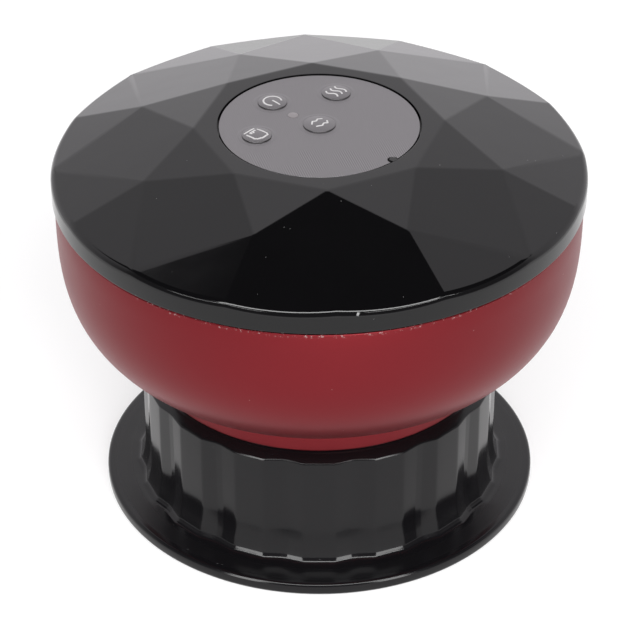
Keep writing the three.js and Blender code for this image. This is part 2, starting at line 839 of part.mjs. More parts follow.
const baseScrewPlaces = Array.from({ length: baseScrewCount }, (_, index) => (
  onCircle(baseScrewPlace, baseScrewTurn + index * 360 / baseScrewCount)));

const sealZ = baseBottomZ + sealHeightInCup;
const grooveRadius = spigotRadius - sealGrooveDepth;

function baseShape() {
  const skirtRadius = spigotRadius - skirtWall;
  const grooveHalf = sealHeight / 2 + seatGap;
  const shell = turned([
    [skirtRadius, baseBottomZ],
    [spigotRadius, baseBottomZ],
    [spigotRadius, sealZ - grooveHalf],
    [grooveRadius, sealZ - grooveHalf],
    [grooveRadius, sealZ + grooveHalf],
    [spigotRadius, sealZ + grooveHalf],
    [spigotRadius, baseTopZ],
    [skirtRadius, baseTopZ],
  ], mediumSides);
  const web = rod(spigotRadius - skirtWall / 2, webThickness, mediumSides, [0, 0, webBottomZ]);
  const bosses = baseScrewPlaces.map(([x, y]) => (
    rod(baseBossRadius, baseBossTopZ - webTopZ + webThickness / 2, tinySides,
      [x, y, webTopZ - webThickness / 2])));
  const seats = baseScrewPlaces.map(([x, y]) => (
    rod(screwHeadRadius + seatGap, baseScrewSeatZ - webBottomZ + overrun, tinySides,
      [x, y, webBottomZ - overrun])));
  const holes = baseScrewPlaces.map(([x, y]) => (
    rod(screwRadius + screwHoleGap, baseBossTopZ - webBottomZ + overrun, tinySides, [x, y, webBottomZ])));
  const nozzle = rod(barbRadius, barbLength + webThickness / 2, tinySides,
    [0, 0, webTopZ - webThickness / 2]);
  const nozzleBore = rod(barbBoreRadius, barbLength + webThickness + 2 * overrun, tinySides,
    [0, 0, webBottomZ - overrun]);
  return cut(join(shell, web, nozzle, ...bosses), nozzleBore, ...seats, ...holes);
}

function addBase() {
  const plateRadius = spigotRadius - skirtWall - seatGap;
  addPiece('base_plate', baseShape(), 'blackMatt');
  const sealInner = grooveRadius + seatGap;
  const sealOuter = cupBoreRadius - seatGap;
  addPiece('seal_ring', turned([
    [sealInner, -sealHeight / 2],
    [sealOuter - sealRound, -sealHeight / 2],
    [sealOuter, -sealHeight / 2 + sealRound],
    [sealOuter, sealHeight / 2 - sealRound],
    [sealOuter - sealRound, sealHeight / 2],
    [sealInner, sealHeight / 2],
  ], mediumSides), 'silicone', [0, 0, sealZ]);
  addPiece('heat_plate', tube(plateRadius, filterHoleRadius, heatPlateThickness, mediumSides),
    'heatMetal', [0, 0, heatPlateZ]);
  addPiece('heating_film', tube(plateRadius - seatGap, filterHoleRadius, heatingFilmThickness, mediumSides),
    'amberFilm', [0, 0, heatingFilmZ]);
  const stubRadius = filterHoleRadius - seatGap;
  const grille = join(
    rod(stubRadius, grilleThickness + seatGap + grilleStubHeight, smallSides),
    rod(filterHoleRadius + grilleFlange, grilleThickness, smallSides),
  );
  const grilleHoles = Array.from({ length: grilleHoleCount }, (_, index) => {
    const [x, y] = onCircle(grilleHolePlace, index * 360 / grilleHoleCount);
    return rod(grilleHoleRadius, grilleStubHeight + 2 * overrun, hoseSides, [x, y, -overrun / 2]);
  });
  addPiece('filter_grille', cut(grille, ...grilleHoles), 'blackMatt',
    [0, 0, heatPlateZ - seatGap - grilleThickness]);
  addPiece('air_filter', rod(stubRadius, filterHeight, smallSides), 'foam',
    [0, 0, webBottomZ - seatGap - filterHeight]);
  baseScrewPlaces.forEach(([x, y], index) => {
    const screw = screwShape(screwRadius, baseScrewLength, screwHeadRadius, screwHeadHeight);
    addPiece(`base_screw_${index + 1}`, screw, 'steel', [x, y, baseScrewSeatZ - seatGap - screwHeadHeight]);
  });
}

// Chassis: a deck on the bowl's floor that carries the pump, battery and posts

function chassisShape() {
  const deck = rod(deckRadius, deckThickness, fineSides, [0, 0, deckBottomZ]);
  const clampRing = tube(clampRingRadius, clampRingRadius - clampRingWall,
    deckBottomZ + deckThickness / 2 - bowlFloorZ - seatGap, mediumSides, [0, 0, bowlFloorZ + seatGap]);
  const bossBottomZ = baseBossTopZ + seatGap;
  const bosses = baseScrewPlaces.map(([x, y]) => (
    rod(chassisBossRadius, deckTopZ - bossBottomZ, tinySides, [x, y, bossBottomZ])));
  const posts = postPlaces.map(([x, y]) => (
    rod(postRadius, postTopZ - deckTopZ - postLift, tinySides, [x, y, deckTopZ + postLift])));
  const pegTopZ = deckTopZ + chargeBoardLift - seatGap;
  const pegs = [-pegX, pegX].map((x) => (
    rod(pegRadius, pegTopZ - deckBottomZ, tinySides, [x, pegY, deckBottomZ])));
  const rearRibs = [-rearPostX, rearPostX].map((x) => {
    const near = batteryY - batteryRadius - ribOverhang;
    return block(ribThickness, rearPostY - near, ribHeight + deckThickness,
      [x, (rearPostY + near) / 2, deckBottomZ]);
  });
  const far = pumpY + grommetRadius + ribOverhang;
  const saddles = [frontGrommetX, rearGrommetX].map((x) => {
    const near = x === rearGrommetX ? frontPostY : pumpY - grommetRadius - ribOverhang;
    return block(ribThickness, far - near, ribHeight + deckThickness, [x, (far + near) / 2, deckBottomZ]);
  });
  const gussetFar = pumpY - pumpWidth / 2 - ribOverhang;
  const gusset = block(ribThickness, gussetFar - frontPostY, ribHeight + deckThickness,
    [-frontPostX, (gussetFar + frontPostY) / 2, deckBottomZ]);
  const pedestal = block(pedestalWidth, pedestalWidth, deckThickness + valveLift - seatGap,
    [manifoldX, valveY, deckBottomZ]);
  const bed = join(deck, clampRing, pedestal, gusset, ...bosses, ...posts, ...pegs, ...rearRibs, ...saddles);
  const batteryCut = alongX(rod(batteryRadius + seatGap, 2 * deckRadius, smallSides))
    .translate(-deckRadius, batteryY, batteryZ);
  const motorCut = alongX(rod(grommetRadius + seatGap, 2 * rearGrommetX, smallSides))
    .translate(frontGrommetX - rearGrommetX, pumpY, pumpZ);
  const bossHoles = baseScrewPlaces.map(([x, y]) => (
    rod(screwRadius + screwHoleGap, deckBottomZ - bossBottomZ + overrun, tinySides,
      [x, y, bossBottomZ - overrun])));
  const roofZ = postTopZ - postRoofThickness;
  const postBores = postPlaces.map(([x, y]) => (
    rod(screwHeadRadius + seatGap, roofZ - deckBottomZ + overrun, tinySides, [x, y, deckBottomZ - overrun])));
  const postHoles = postPlaces.map(([x, y]) => (
    rod(screwRadius + screwHoleGap, postRoofThickness + 2 * overrun, tinySides, [x, y, roofZ - overrun])));
  const slotLength = clampRingRadius + deckRadius - hoseSlotStart;
  const slotAngle = Math.atan2(pumpY, manifoldX);
  const hoseSlot = block(slotLength, 2 * (hoseRadius + hoseSlotGap), deckTopZ - bowlFloorZ + 2 * overrun)
    .translate(hoseSlotStart + slotLength / 2, 0, bowlFloorZ - overrun)
    .rotateZ(slotAngle);
  return cut(bed, batteryCut, motorCut, hoseSlot, ...bossHoles, ...postBores, ...postHoles);
}

function addChassis() {
  addPiece('chassis', chassisShape(), 'frameWhite');
  const headZ = postTopZ - postRoofThickness - seatGap - screwHeadHeight;
  postPlaces.forEach(([x, y], index) => {
    const screw = screwShape(screwRadius, coverScrewLength, screwHeadRadius, screwHeadHeight);
    addPiece(`cover_screw_${index + 1}`, screw, 'steel', [x, y, headZ]);
  });
}

// A strap over a round body that lies along X, with a foot on each side of it on the deck

function strapShape(radius, axisRise) {
  const outer = radius + seatGap + strapThickness;
  const inner = radius + seatGap;
  const arch = alongX(tube(outer, inner, strapWidth, mediumSides)).translate(-strapWidth / 2, 0, axisRise);
  const below = block(strapWidth + overrun, 2 * outer + overrun, axisRise + overrun, [0, 0, -overrun]);
  const legs = [-1, 1].map((side) => (
    block(strapWidth, strapThickness, axisRise, [0, side * (inner + strapThickness / 2), 0])));
  const feet = [-1, 1].map((side) => (
    block(strapWidth, strapFoot, strapThickness, [0, side * (outer + strapFoot / 2 - strapThickness), 0])));
  return join(cut(arch, below), ...legs, ...feet);
}

// Battery cell with its shrink sleeve's groove and two end caps

function addBattery() {
  const half = batteryLength / 2;
  const cell = alongX(revolve([
    [0, -half],
    [batteryRadius - batteryRingDepth, -half],
    [batteryRadius, -half + batteryRingDepth],
    [batteryRadius, half - batteryRingPlace - batteryRingWidth],
    [batteryRadius - batteryRingDepth, half - batteryRingPlace - batteryRingWidth / 2],
    [batteryRadius, half - batteryRingPlace],
    [batteryRadius, half - batteryRingDepth],
    [batteryRadius - batteryRingDepth, half],
    [capRadius, half],
    [capRadius, half + capHeight],
    [0, half + capHeight],
  ], smallSides));
  addPiece('battery_cell', cell, 'cellSleeve', [0, batteryY, batteryZ]);
  addPiece('battery_strap', strapShape(batteryRadius, batteryZ - deckTopZ - seatGap), 'blackMatt',
    [batteryStrapX, batteryY, deckTopZ + seatGap]);
  const contact = half + capHeight + wireGap + wireRadius;
  addWire('battery_lead_red', 'redWire', contact);
  addWire('battery_lead_black', 'blackWire', -contact + capHeight);
}

const wireRouteShares = [[0, 0, 0], [-0.5, 0, 0.32], [0.5, 0.5, 0.72], [3, 1, 0.86], [3.4, 1, 1]];

function addWire(name, finish, x) {
  const inward = -Math.sign(x) * wireBow;
  const rise = boardBottomZ - wireGap - batteryZ;
  const points = wireRouteShares.map(([inShare, frontShare, riseShare]) => [
    x + inward * inShare, batteryY - wireBow * frontShare, batteryZ + rise * riseShare,
  ]);
  addPiece(name, tubeAlong(points, wireRadius, 0, wireSides, wireSteps), finish);
}

// A hose or wire along a smooth line: solid, or with a bore

function tubeAlong(points, radius, boreRadius, sides, steps) {
  const path = new THREE.CatmullRomCurve3(points.map((point) => new THREE.Vector3(...point)));
  const ring = (size) => {
    const outline = [];
    for (let i = 0; i < sides; i += 1) {
      outline.push(new THREE.Vector2(...onCircle(size, (i + 0.5) * 360 / sides)));
    }
    return outline;
  };
  const section = new THREE.Shape(ring(radius));
  if (boreRadius > 0) section.holes.push(new THREE.Path(ring(boreRadius).reverse()));
  return new THREE.ExtrudeGeometry(section, { extrudePath: path, steps, bevelEnabled: false });
}

// Pump: motor, crank on an eccentric, diaphragm and a cap with two barbs, laid along -X

function barb(length) {
  return revolve([
    [0, 0],
    [barbRadius, 0],
    [barbRadius, length - barbRadius / 2],
    [barbRadius * barbTipShare, length],
    [0, length],
  ], tinySides);
}

function pumpBodyShape() {
  const shell = roundedBlock(pumpWidth, pumpWidth, pumpBodyLength, pumpCorner);
  const chamber = rod(crankRadius, pumpBodyLength, smallSides, [0, 0, pumpWall]);
  const hole = rod(motorBossRadius + seatGap, pumpWall + overrun, smallSides, [0, 0, -overrun / 2]);
  return cut(shell, chamber, hole);
}

function pumpCapShape() {
  const shell = roundedBlock(pumpWidth, pumpWidth, pumpCapLength, pumpCorner);
  const barbs = [-barbSpread, barbSpread].map((x) => (
    barb(barbLength + joinDepth).translate(x, 0, pumpCapLength - joinDepth)));
  const pockets = [-barbSpread, barbSpread].map((x) => (
    rod(pumpPocketRadius, pumpPocketDepth + overrun, tinySides, [x, 0, -overrun])));
  const bores = [-barbSpread, barbSpread].map((x) => (
    rod(barbBoreRadius, pumpCapLength + barbLength + overrun, hoseSides, [x, 0, 0])));
  return cut(join(shell, ...barbs), ...pockets, ...bores);
}

function addPump() {
  const pump = addGroup([0, pumpY, pumpZ], [0, -90, 0]);
  const can = revolve([
    [0, -motorLength - motorTailHeight],
    [motorTailRadius, -motorLength - motorTailHeight],
    [motorTailRadius, -motorLength],
    [motorRadius - motorTailHeight, -motorLength],
    [motorRadius, -motorLength + motorTailHeight],
    [motorRadius, 0],
    [motorBossRadius, 0],
    [motorBossRadius, motorBossHeight],
    [shaftRadius + shaftClearance, motorBossHeight],
    [shaftRadius + shaftClearance, -shaftDepth],
    [0, -shaftDepth],
  ], smallSides);
  addPiece('pump_motor', can, 'steel', [0, 0, 0], pump);
  const wheelStart = shaftReach - eccentricThickness;
  const shaft = join(
    rod(shaftRadius, shaftDepth - seatGap + shaftReach, tinySides, [0, 0, seatGap - shaftDepth]),
    rod(eccentricRadius, eccentricThickness, smallSides, [eccentricOffset, 0, wheelStart]),
  );
  addPiece('pump_shaft', shaft, 'steel', [0, 0, 0], pump);
  addPiece('pump_body', pumpBodyShape(), 'blackMatt', [0, 0, seatGap], pump);
  const nub = join(
    rod(diaphragmRadius, diaphragmThickness, smallSides),
    rod(diaphragmNubRadius, diaphragmNub + diaphragmThickness / 2, tinySides, [0, 0, -diaphragmNub]),
  );
  addPiece('pump_diaphragm', nub, 'darkRubber', [0, 0, seatGap + pumpBodyLength + seatGap], pump);
  addPiece('pump_cap', pumpCapShape(), 'blackMatt',
    [0, 0, -barbStartX - pumpCapLength], pump);
  const grommet = () => tube(grommetRadius, motorRadius + seatGap, grommetWidth, smallSides);
  addPiece('motor_grommet_front', grommet(), 'darkRubber', [0, 0, -frontGrommetX - grommetWidth / 2], pump);
  addPiece('motor_grommet_rear', grommet(), 'darkRubber', [0, 0, -rearGrommetX - grommetWidth / 2], pump);
  addPiece('motor_strap', strapShape(motorRadius, pumpZ - deckTopZ - seatGap), 'steel',
    [motorStrapX, pumpY, deckTopZ + seatGap]);
}

// Air paths: a three-way manifold, and hoses to the pump, the valve and the cup

const hoseRouteShares = [
  [1, 'top', 0], [1, 'top', -0.7], [0.985, 'top', -1.4], [0.93, 'run', 1.15], [0.8, 'run', 0.4],
  [0.62, 'run', 0], [0.32, 'run', -0.35], [0.13, 'run', -0.7], [0.035, 'end', 2.35],
  [0, 'end', 1.6], [0, 'end', 0.8], [0, 'end', 0],
];

function addAirPaths() {
  const half = manifoldWidth / 2;
  const reach = half + barbLength;
  const bore = (length) => rod(barbBoreRadius, length, hoseSides);
  const core = roundedBlock(manifoldWidth, manifoldWidth, manifoldWidth, manifoldCorner)
    .translate(0, 0, -half);
  const manifold = cut(
    join(core, alongX(barb(reach)), alongY(barb(reach)), barb(reach).rotateX(Math.PI)),
    alongX(bore(reach + overrun)),
    alongY(bore(reach + overrun)),
    bore(reach + overrun).rotateX(Math.PI),
  );
  addPiece('air_manifold', manifold, 'whitePlastic', [manifoldX, pumpY, inletZ]);
  const pumpHoseStart = manifoldX + half + hoseEndGap;
  const pumpHoseEnd = barbStartX - hoseEndGap;
  addPiece('hose_to_pump', alongX(tube(hoseRadius, hoseBoreRadius, pumpHoseEnd - pumpHoseStart, tinySides)),
    'silicone', [pumpHoseStart, pumpY, inletZ]);
  const valveHoseStart = pumpY + half + hoseEndGap;
  const valveHoseEnd = valveY - valveWidth / 2 - hoseEndGap;
  addPiece('hose_to_valve',
    alongY(tube(hoseRadius, hoseBoreRadius, valveHoseEnd - valveHoseStart, tinySides)),
    'silicone', [manifoldX, valveHoseStart, inletZ]);
  const startZ = inletZ - half - hoseEndGap;
  const endZ = webTopZ + hoseEndGap;
  const runZ = bowlFloorZ + hoseRadius + seatGap;
  const levels = { top: startZ, run: runZ, end: endZ };
  const route = hoseRouteShares.map(([out, level, rise]) => (
    [manifoldX * out, pumpY * out, levels[level] + rise * hoseRadius]));
  addPiece('hose_to_cup', tubeAlong(route, hoseRadius, hoseBoreRadius, hoseSides, hoseSteps),
    'silicone');
}

// Release valve: a port block, a coil in its frame, and a sprung plunger

function springShape() {
  const points = [];
  const steps = springTurns * springTurnSteps;
  const rise = springHeight - 2 * springWire;
  for (let i = 0; i <= steps; i += 1) {
    const share = i / steps;
    points.push([...onCircle(springRadius, share * springTurns * 360), springWire + rise * share]);
  }
  return tubeAlong(points, springWire, 0, springSides, steps);
}

function addValve() {
  const bodyZ = deckTopZ + valveLift;
  const frameZ = bodyZ + valveBodyHeight + seatGap;
  const portZ = inletZ - bodyZ;
  const valve = addGroup([manifoldX, valveY, bodyZ]);
  const port = barb(barbLength + joinDepth).rotateX(Math.PI / 2)
    .translate(0, joinDepth - valveWidth / 2, portZ);
  const portBore = rod(barbBoreRadius, valveWidth, hoseSides).rotateX(Math.PI / 2).translate(0, 0, portZ);
  const body = cut(
    join(roundedBlock(valveWidth, valveWidth, valveBodyHeight, valveCorner), port),
    rod(plungerBoreRadius, valveBodyHeight, tinySides, [0, 0, valveBodyHeight - plungerDepth]),
    portBore,
    rod(barbBoreRadius, valveBodyHeight, hoseSides),
  );
  addPiece('valve_body', body, 'blackMatt', [0, 0, 0], valve);
  const frameInner = valveFrameHeight - 2 * valveFrameWall;
  const frame = cut(
    block(valveWidth, valveWidth, valveFrameHeight),
    block(valveWidth - 2 * valveFrameWall, valveWidth + overrun, frameInner, [0, 0, valveFrameWall]),
    rod(plungerBoreRadius, valveFrameHeight + 2 * overrun, tinySides, [0, 0, -overrun]),
  );
  addPiece('valve_frame', frame, 'steel', [0, 0, frameZ - bodyZ], valve);
  const coilHeight = frameInner - 2 * seatGap;
  const coil = turned([
    [plungerBoreRadius, 0],
    [coilRim, 0],
    [coilRim, coilFlange],
    [coilRim - coilInset, coilFlange + coilInset],
    [coilRim - coilInset, coilHeight - coilFlange - coilInset],
    [coilRim, coilHeight - coilFlange],
    [coilRim, coilHeight],
    [plungerBoreRadius, coilHeight],
  ], smallSides);
  addPiece('valve_coil', coil, 'copper', [0, 0, frameZ - bodyZ + valveFrameWall + seatGap], valve);
  const frameTop = frameZ - bodyZ + valveFrameHeight;
  const plungerBottom = valveBodyHeight - plungerDepth + plungerTravel + seatGap;
  const headBottom = frameTop + seatGap + springHeight + seatGap;
  const plunger = join(
    rod(plungerRadius, headBottom - plungerBottom + plungerHeadHeight / 2, tinySides),
    rod(plungerHeadRadius, plungerHeadHeight, tinySides, [0, 0, headBottom - plungerBottom]),
  );
  addPiece('valve_plunger', plunger, 'steel', [0, 0, plungerBottom], valve);
  addPiece('valve_spring', springShape(), 'steel', [0, 0, frameTop + seatGap], valve);
}

// Vibration motor with its off-centre weight

function addVibration() {
  const motor = addGroup([vibrationX, vibrationY, vibrationZ], [0, 90, 0]);
  const can = revolve([
    [0, 0],
    [vibrationRadius, 0],
    [vibrationRadius, vibrationLength],
    [weightHubRadius, vibrationLength],
    [weightHubRadius, vibrationLength + weightGap / 2],
    [shaftRadius + shaftClearance, vibrationLength + weightGap / 2],
    [shaftRadius + shaftClearance, vibrationLength - shaftDepth / 2],
    [0, vibrationLength - shaftDepth / 2],
  ], smallSides);
  addPiece('vibration_motor', can, 'steel', [0, 0, 0], motor);
  const sector = new THREE.Shape();
  sector.absarc(0, 0, weightRadius, 0, Math.PI);
  const weight = join(
    plate(new THREE.Shape(sector.getPoints(weightArcSteps)), weightThickness),
    rod(weightHubRadius, weightThickness, tinySides),
    rod(shaftRadius, shaftDepth / 2 + weightThickness, tinySides, [0, 0, seatGap - shaftDepth / 2]),
  );
  addPiece('vibration_weight', weight, 'steel', [0, 0, vibrationLength + weightGap], motor);
  addPiece('vibration_strap', strapShape(vibrationRadius, vibrationZ - deckTopZ - seatGap), 'steel',
    [vibrationStrapX, vibrationY, deckTopZ + seatGap]);
}

// Charging socket in the bowl's rear wall, on a small board

function socketProfile(grow) {
  return roundedBlock(socketWidth + 2 * grow, socketHeight + 2 * grow, 2 * socketDepth,
    socketHeight / 2 + grow - socketCornerInset);
}

function socketOpening() {
  return alongY(socketProfile(socketOpeningGap))
    .translate(0, socketFaceY - socketDepth, socketZ + socketHeight / 2);
}

function addCharger() {
  const cavity = roundedBlock(socketWidth - 2 * socketWall, socketHeight - 2 * socketWall,
    socketDepth, socketHeight / 2 - socketWall - socketCornerInset)
    .translate(0, 0, socketDepth - tongueDepth - tongueRecess);
  const shell = roundedBlock(socketWidth, socketHeight, socketDepth, socketHeight / 2 - socketCornerInset);
  const tongue = block(tongueWidth, tongueHeight, socketDepth - tongueRecess);
  addPiece('charge_socket', alongY(geometryOf(join(cut(shell, cavity), tongue))), 'steel',
    [0, socketFaceY - socketDepth, socketZ + socketHeight / 2]);
  addPiece('charge_board', block(chargeBoardWidth, chargeBoardDepth, chargeBoardThickness), 'boardGreen',
    [0, chargeBoardFront + chargeBoardDepth / 2, deckTopZ + chargeBoardLift]);
}

addPiece('suction_cup', cupShape(), 'blackGloss');
addPiece('housing_bowl', bowlShape(), 'redSatin');
addPiece('top_cover', coverShape(), 'blackGloss');
addControls();
addBase();
addChassis();
addBattery();
addPump();
addAirPaths();
addValve();
addVibration();
addCharger();

export default massager;
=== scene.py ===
from math import asin, atan, atan2, ceil, cos, hypot, pi, radians, sin, sqrt, tan

import bmesh
import bpy
from bpy.props import FloatProperty, FloatVectorProperty, IntProperty, PointerProperty
from bpy.types import Operator, Panel, PropertyGroup
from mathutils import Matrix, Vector


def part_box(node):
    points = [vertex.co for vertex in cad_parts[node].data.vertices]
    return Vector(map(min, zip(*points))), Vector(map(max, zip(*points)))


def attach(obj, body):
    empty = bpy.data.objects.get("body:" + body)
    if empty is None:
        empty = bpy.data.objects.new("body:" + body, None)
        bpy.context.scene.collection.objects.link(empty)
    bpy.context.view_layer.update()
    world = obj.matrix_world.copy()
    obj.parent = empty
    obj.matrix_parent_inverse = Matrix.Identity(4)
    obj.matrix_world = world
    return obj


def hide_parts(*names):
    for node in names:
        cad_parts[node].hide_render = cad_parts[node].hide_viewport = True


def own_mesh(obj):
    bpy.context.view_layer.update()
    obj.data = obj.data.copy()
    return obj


bl_info = {
    "name": "Cupping Massager",
    "version": (1, 0, 0),
    "blender": (4, 5, 0),
    "location": "View3D > Sidebar > Massager",
    "description": "Dresses the packed cupping massager: cup, bowl, faceted cover, keys and studio",
    "category": "Object",
}

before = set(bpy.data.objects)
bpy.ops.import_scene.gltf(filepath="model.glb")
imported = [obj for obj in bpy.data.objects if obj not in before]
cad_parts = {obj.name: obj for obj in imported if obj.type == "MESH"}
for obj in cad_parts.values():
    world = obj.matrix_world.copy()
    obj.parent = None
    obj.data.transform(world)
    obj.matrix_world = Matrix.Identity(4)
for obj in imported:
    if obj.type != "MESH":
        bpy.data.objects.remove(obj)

MM = 0.001
TAU = 2 * pi
ROUND = 192          # sides of the large round pieces
SMALL_ROUND = 64     # sides of the keys and other small turned pieces

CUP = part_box("suction_cup")
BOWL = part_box("housing_bowl")
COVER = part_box("top_cover")
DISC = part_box("control_panel")
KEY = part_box("power_button")
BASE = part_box("base_plate")
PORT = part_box("charge_socket")


def mm(*sizes):
    return tuple(size * MM for size in sizes)


# Settings, as a user would change them

def length(name, description, default):
    return FloatProperty(name=name, description=description, default=default, min=0.0,
                         precision=5, unit="LENGTH", subtype="DISTANCE")


def turn(name, description, degrees):
    return FloatProperty(name=name, description=description, default=radians(degrees),
                         unit="ROTATION", subtype="ANGLE")


def colour(name, description, default):
    return FloatVectorProperty(name=name, description=description, default=default,
                               size=3, min=0.0, max=1.0, subtype="COLOR")


def share(name, description, default):
    return FloatProperty(name=name, description=description, default=default,
                         min=0.0, max=1.0, subtype="FACTOR")


def power(name, description, watts):
    return FloatProperty(name=name, description=description, default=watts, min=0.0, subtype="POWER")


def number(name, description, default, least):
    return FloatProperty(name=name, description=description, default=default, min=least)


class CupSettings(PropertyGroup):
    flange_radius: length("Flange radius", "Outer radius of the foot's flange", CUP[1].x)
    flange_height: length("Flange height", "Thickness of the foot's flange", 2.3 * MM)
    height: length("Height", "Height of the cup", CUP[1].z - 0.2 * MM)
    wall_radius: length("Wall radius", "Radius over the ribs", 32.6 * MM)
    neck_radius: length("Neck radius", "Radius at the top of the shoulder", 31 * MM)
    bore_radius: length("Bore radius", "Radius of the open bore", 29.3 * MM)
    flute_count: IntProperty(name="Flutes", description="Flutes round the wall", default=16, min=3)
    flute_depth: length("Flute depth", "How far the flutes are sunk", 0.5 * MM)
    rib_share: share("Rib share", "Share of each pitch that a rib's flat takes", 0.43)
    flute_share: share("Flute share", "Share of each pitch that a flute's flat takes", 0.10)


class BowlSettings(PropertyGroup):
    rim_radius: length("Rim radius", "Outer radius at the rim", BOWL[1].x)
    neck_radius: length("Neck radius", "Outer radius of the neck ring", 31.2 * MM)
    neck_drop: length("Neck drop", "How far the neck ring reaches over the cup", 0.2 * MM)
    belly_lift: length("Belly lift", "How far the belly's underside is drawn up", 0.3 * MM)
    foot_radius: length("Foot radius", "Radius at which the belly's curve starts", 29 * MM)
    neck_bore: length("Neck bore", "Inner radius of the neck ring", 28.7 * MM)
    neck_height: length("Neck height", "Height of the neck ring", 4.4 * MM)
    wall: length("Wall", "Thickness of the wall", 2 * MM)
    drop_power: number("Drop power", "Fullness of the belly's height curve", 3.556, 1.0)
    round_power: number("Round power", "Fullness of the belly's width curve", 1.671, 1.0)


class CoverSettings(PropertyGroup):
    sides: IntProperty(name="Sides", description="Sides of the crown's flat table", default=8, min=4)
    turn: turn("Turn", "Turn of the crown's first corner", 3.5)
    band_radius: length("Band radius", "Outer radius of the straight band", 47.5 * MM)
    band_height: length("Band height", "Height of the straight band", 3.6 * MM)
    rim_inset: length("Rim inset", "How far the crown's rim stands in from the band", 1.0 * MM)
    rim_rise: length("Rim rise", "Rise from the band to the crown's rim", 1.1 * MM)
    crown_rise: length("Crown rise", "Rise from the rim to the flat table", 7.44 * MM)
    middle_share: share("Middle share", "Where the middle corners stand between table and rim", 0.4732)
    table_radius: length("Table radius", "Radius of the table's corners", 22.1 * MM)
    recess_radius: length("Recess radius", "Radius of the panel's recess", 17.95 * MM)
    wall: length("Wall", "Thickness of the cover", 2 * MM)
    facet_round: length("Facet round", "Softness of the edges between facets", 0.3 * MM)


class PanelSettings(PropertyGroup):
    turn: turn("Turn", "Turn of the panel about the upright axis", -133)
    radius: length("Radius", "Radius of the panel", 17.65 * MM)
    sink: length("Sink", "How far the panel lies below the cover's table", 0.15 * MM)
    notch_radius: length("Notch radius", "Radius of the notch in the panel's rim", 0.95 * MM)
    notch_reach: length("Notch reach", "Distance of the notch from the middle", 17.3 * MM)
    small_key_radius: length("Small key radius", "Radius of the three outer keys", 2.6 * MM)
    large_key_radius: length("Large key radius", "Radius of the middle key", 2.85 * MM)
    key_gap: length("Key gap", "Gap between a key and the panel", 0.05 * MM)
    key_rise: length("Key rise", "Height of a key's dome above the panel", 0.5 * MM)
    key_step: length("Key step", "Height of a key's edge above the panel", 0.22 * MM)
    window_radius: length("Window radius", "Radius of the light's window", 0.95 * MM)
    sign_width: length("Sign width", "Width of the signs' lines", 0.42 * MM)


class FinishSettings(PropertyGroup):
    black_gloss: colour("Gloss black", "Moulded cover and cup", (0.0019, 0.0018, 0.0021))
    red_satin: colour("Satin red", "Lacquer of the bowl", (0.165, 0.0095, 0.0140))
    panel_grey: colour("Panel grey", "Anodised panel", (0.195, 0.188, 0.194))
    sign_white: colour("Sign white", "Printed signs", (0.60, 0.59, 0.59))
    gloss_roughness: share("Gloss roughness", "Roughness of the gloss black", 0.07)
    satin_roughness: share("Satin roughness", "Roughness of the red lacquer", 0.38)


class StageSettings(PropertyGroup):
    distance: length("Camera distance", "Distance from the camera to its aim", 515.5 * MM)
    elevation: turn("Camera elevation", "Height of the camera above the horizon", 34.32)
    aim_height: length("Aim height", "Height of the point the camera looks at", 32.2 * MM)
    aim_side: FloatProperty(name="Aim side", description="Sideways place of the camera and its aim",
                            default=0.114 * MM, precision=5, unit="LENGTH", subtype="DISTANCE")
    lens: FloatProperty(name="Lens", description="Focal length in millimetres", default=157.8,
                        min=1.0, unit="CAMERA")
    floor_radius: length("Floor radius", "Radius of the pale floor", 420 * MM)
    sky: number("Sky", "Brightness of the studio's walls", 1.0, 0.0)
    strip_light: power("Strip light", "Power of the strip above the front", 10.5)
    front_light: power("Front light", "Power of the soft light on the bowl", 6.4)
    side_light: power("Side lights", "Power of each tall light on the cup", 6.3)
    rim_light: power("Rim lights", "Power of each thin light on the cover's rim", 1.0)
    floor_drop: length("Floor drop", "Clearance between the cup and the floor", 0.05 * MM)


class MassagerSettings(PropertyGroup):
    cup: PointerProperty(type=CupSettings)
    bowl: PointerProperty(type=BowlSettings)
    cover: PointerProperty(type=CoverSettings)
    panel: PointerProperty(type=PanelSettings)
    finish: PointerProperty(type=FinishSettings)
    stage: PointerProperty(type=StageSettings)


# Shader nodes, written as Python

def maths(operation, turned=False):
    """A method that adds a Math node of one kind, with its terms turned round for reflected forms."""
    def method(self, other):
        terms = (other, self) if turned else (self, other)
        return self.tree.node("Math", {"operation": operation}, dict(enumerate(terms)))
    return method


class Value:
    """A shader socket that takes part in sums: each operator adds its Math node."""

    def __init__(self, tree, socket):
        self.tree, self.socket = tree, socket

    __add__ = __radd__ = maths("ADD")
    __sub__, __rsub__ = maths("SUBTRACT"), maths("SUBTRACT", turned=True)
    __mul__ = __rmul__ = maths("MULTIPLY")
    __truediv__, __rtruediv__ = maths("DIVIDE"), maths("DIVIDE", turned=True)
    __pow__ = maths("POWER")
    high = maths("MAXIMUM")
    there_and_back = maths("PINGPONG")

    def step(self, low, high):
        """0 below low, 1 above high and smooth between them."""
        return self.tree.node("MapRange", {"interpolation_type": "SMOOTHSTEP"},
                              {"Value": self, "From Min": low, "From Max": high})

    def waves(self, pitch):
        """A sine between -1 and 1 that comes again after each pitch."""
        return self.tree.node("Math", {"operation": "SINE"}, {0: self * (TAU / pitch)})


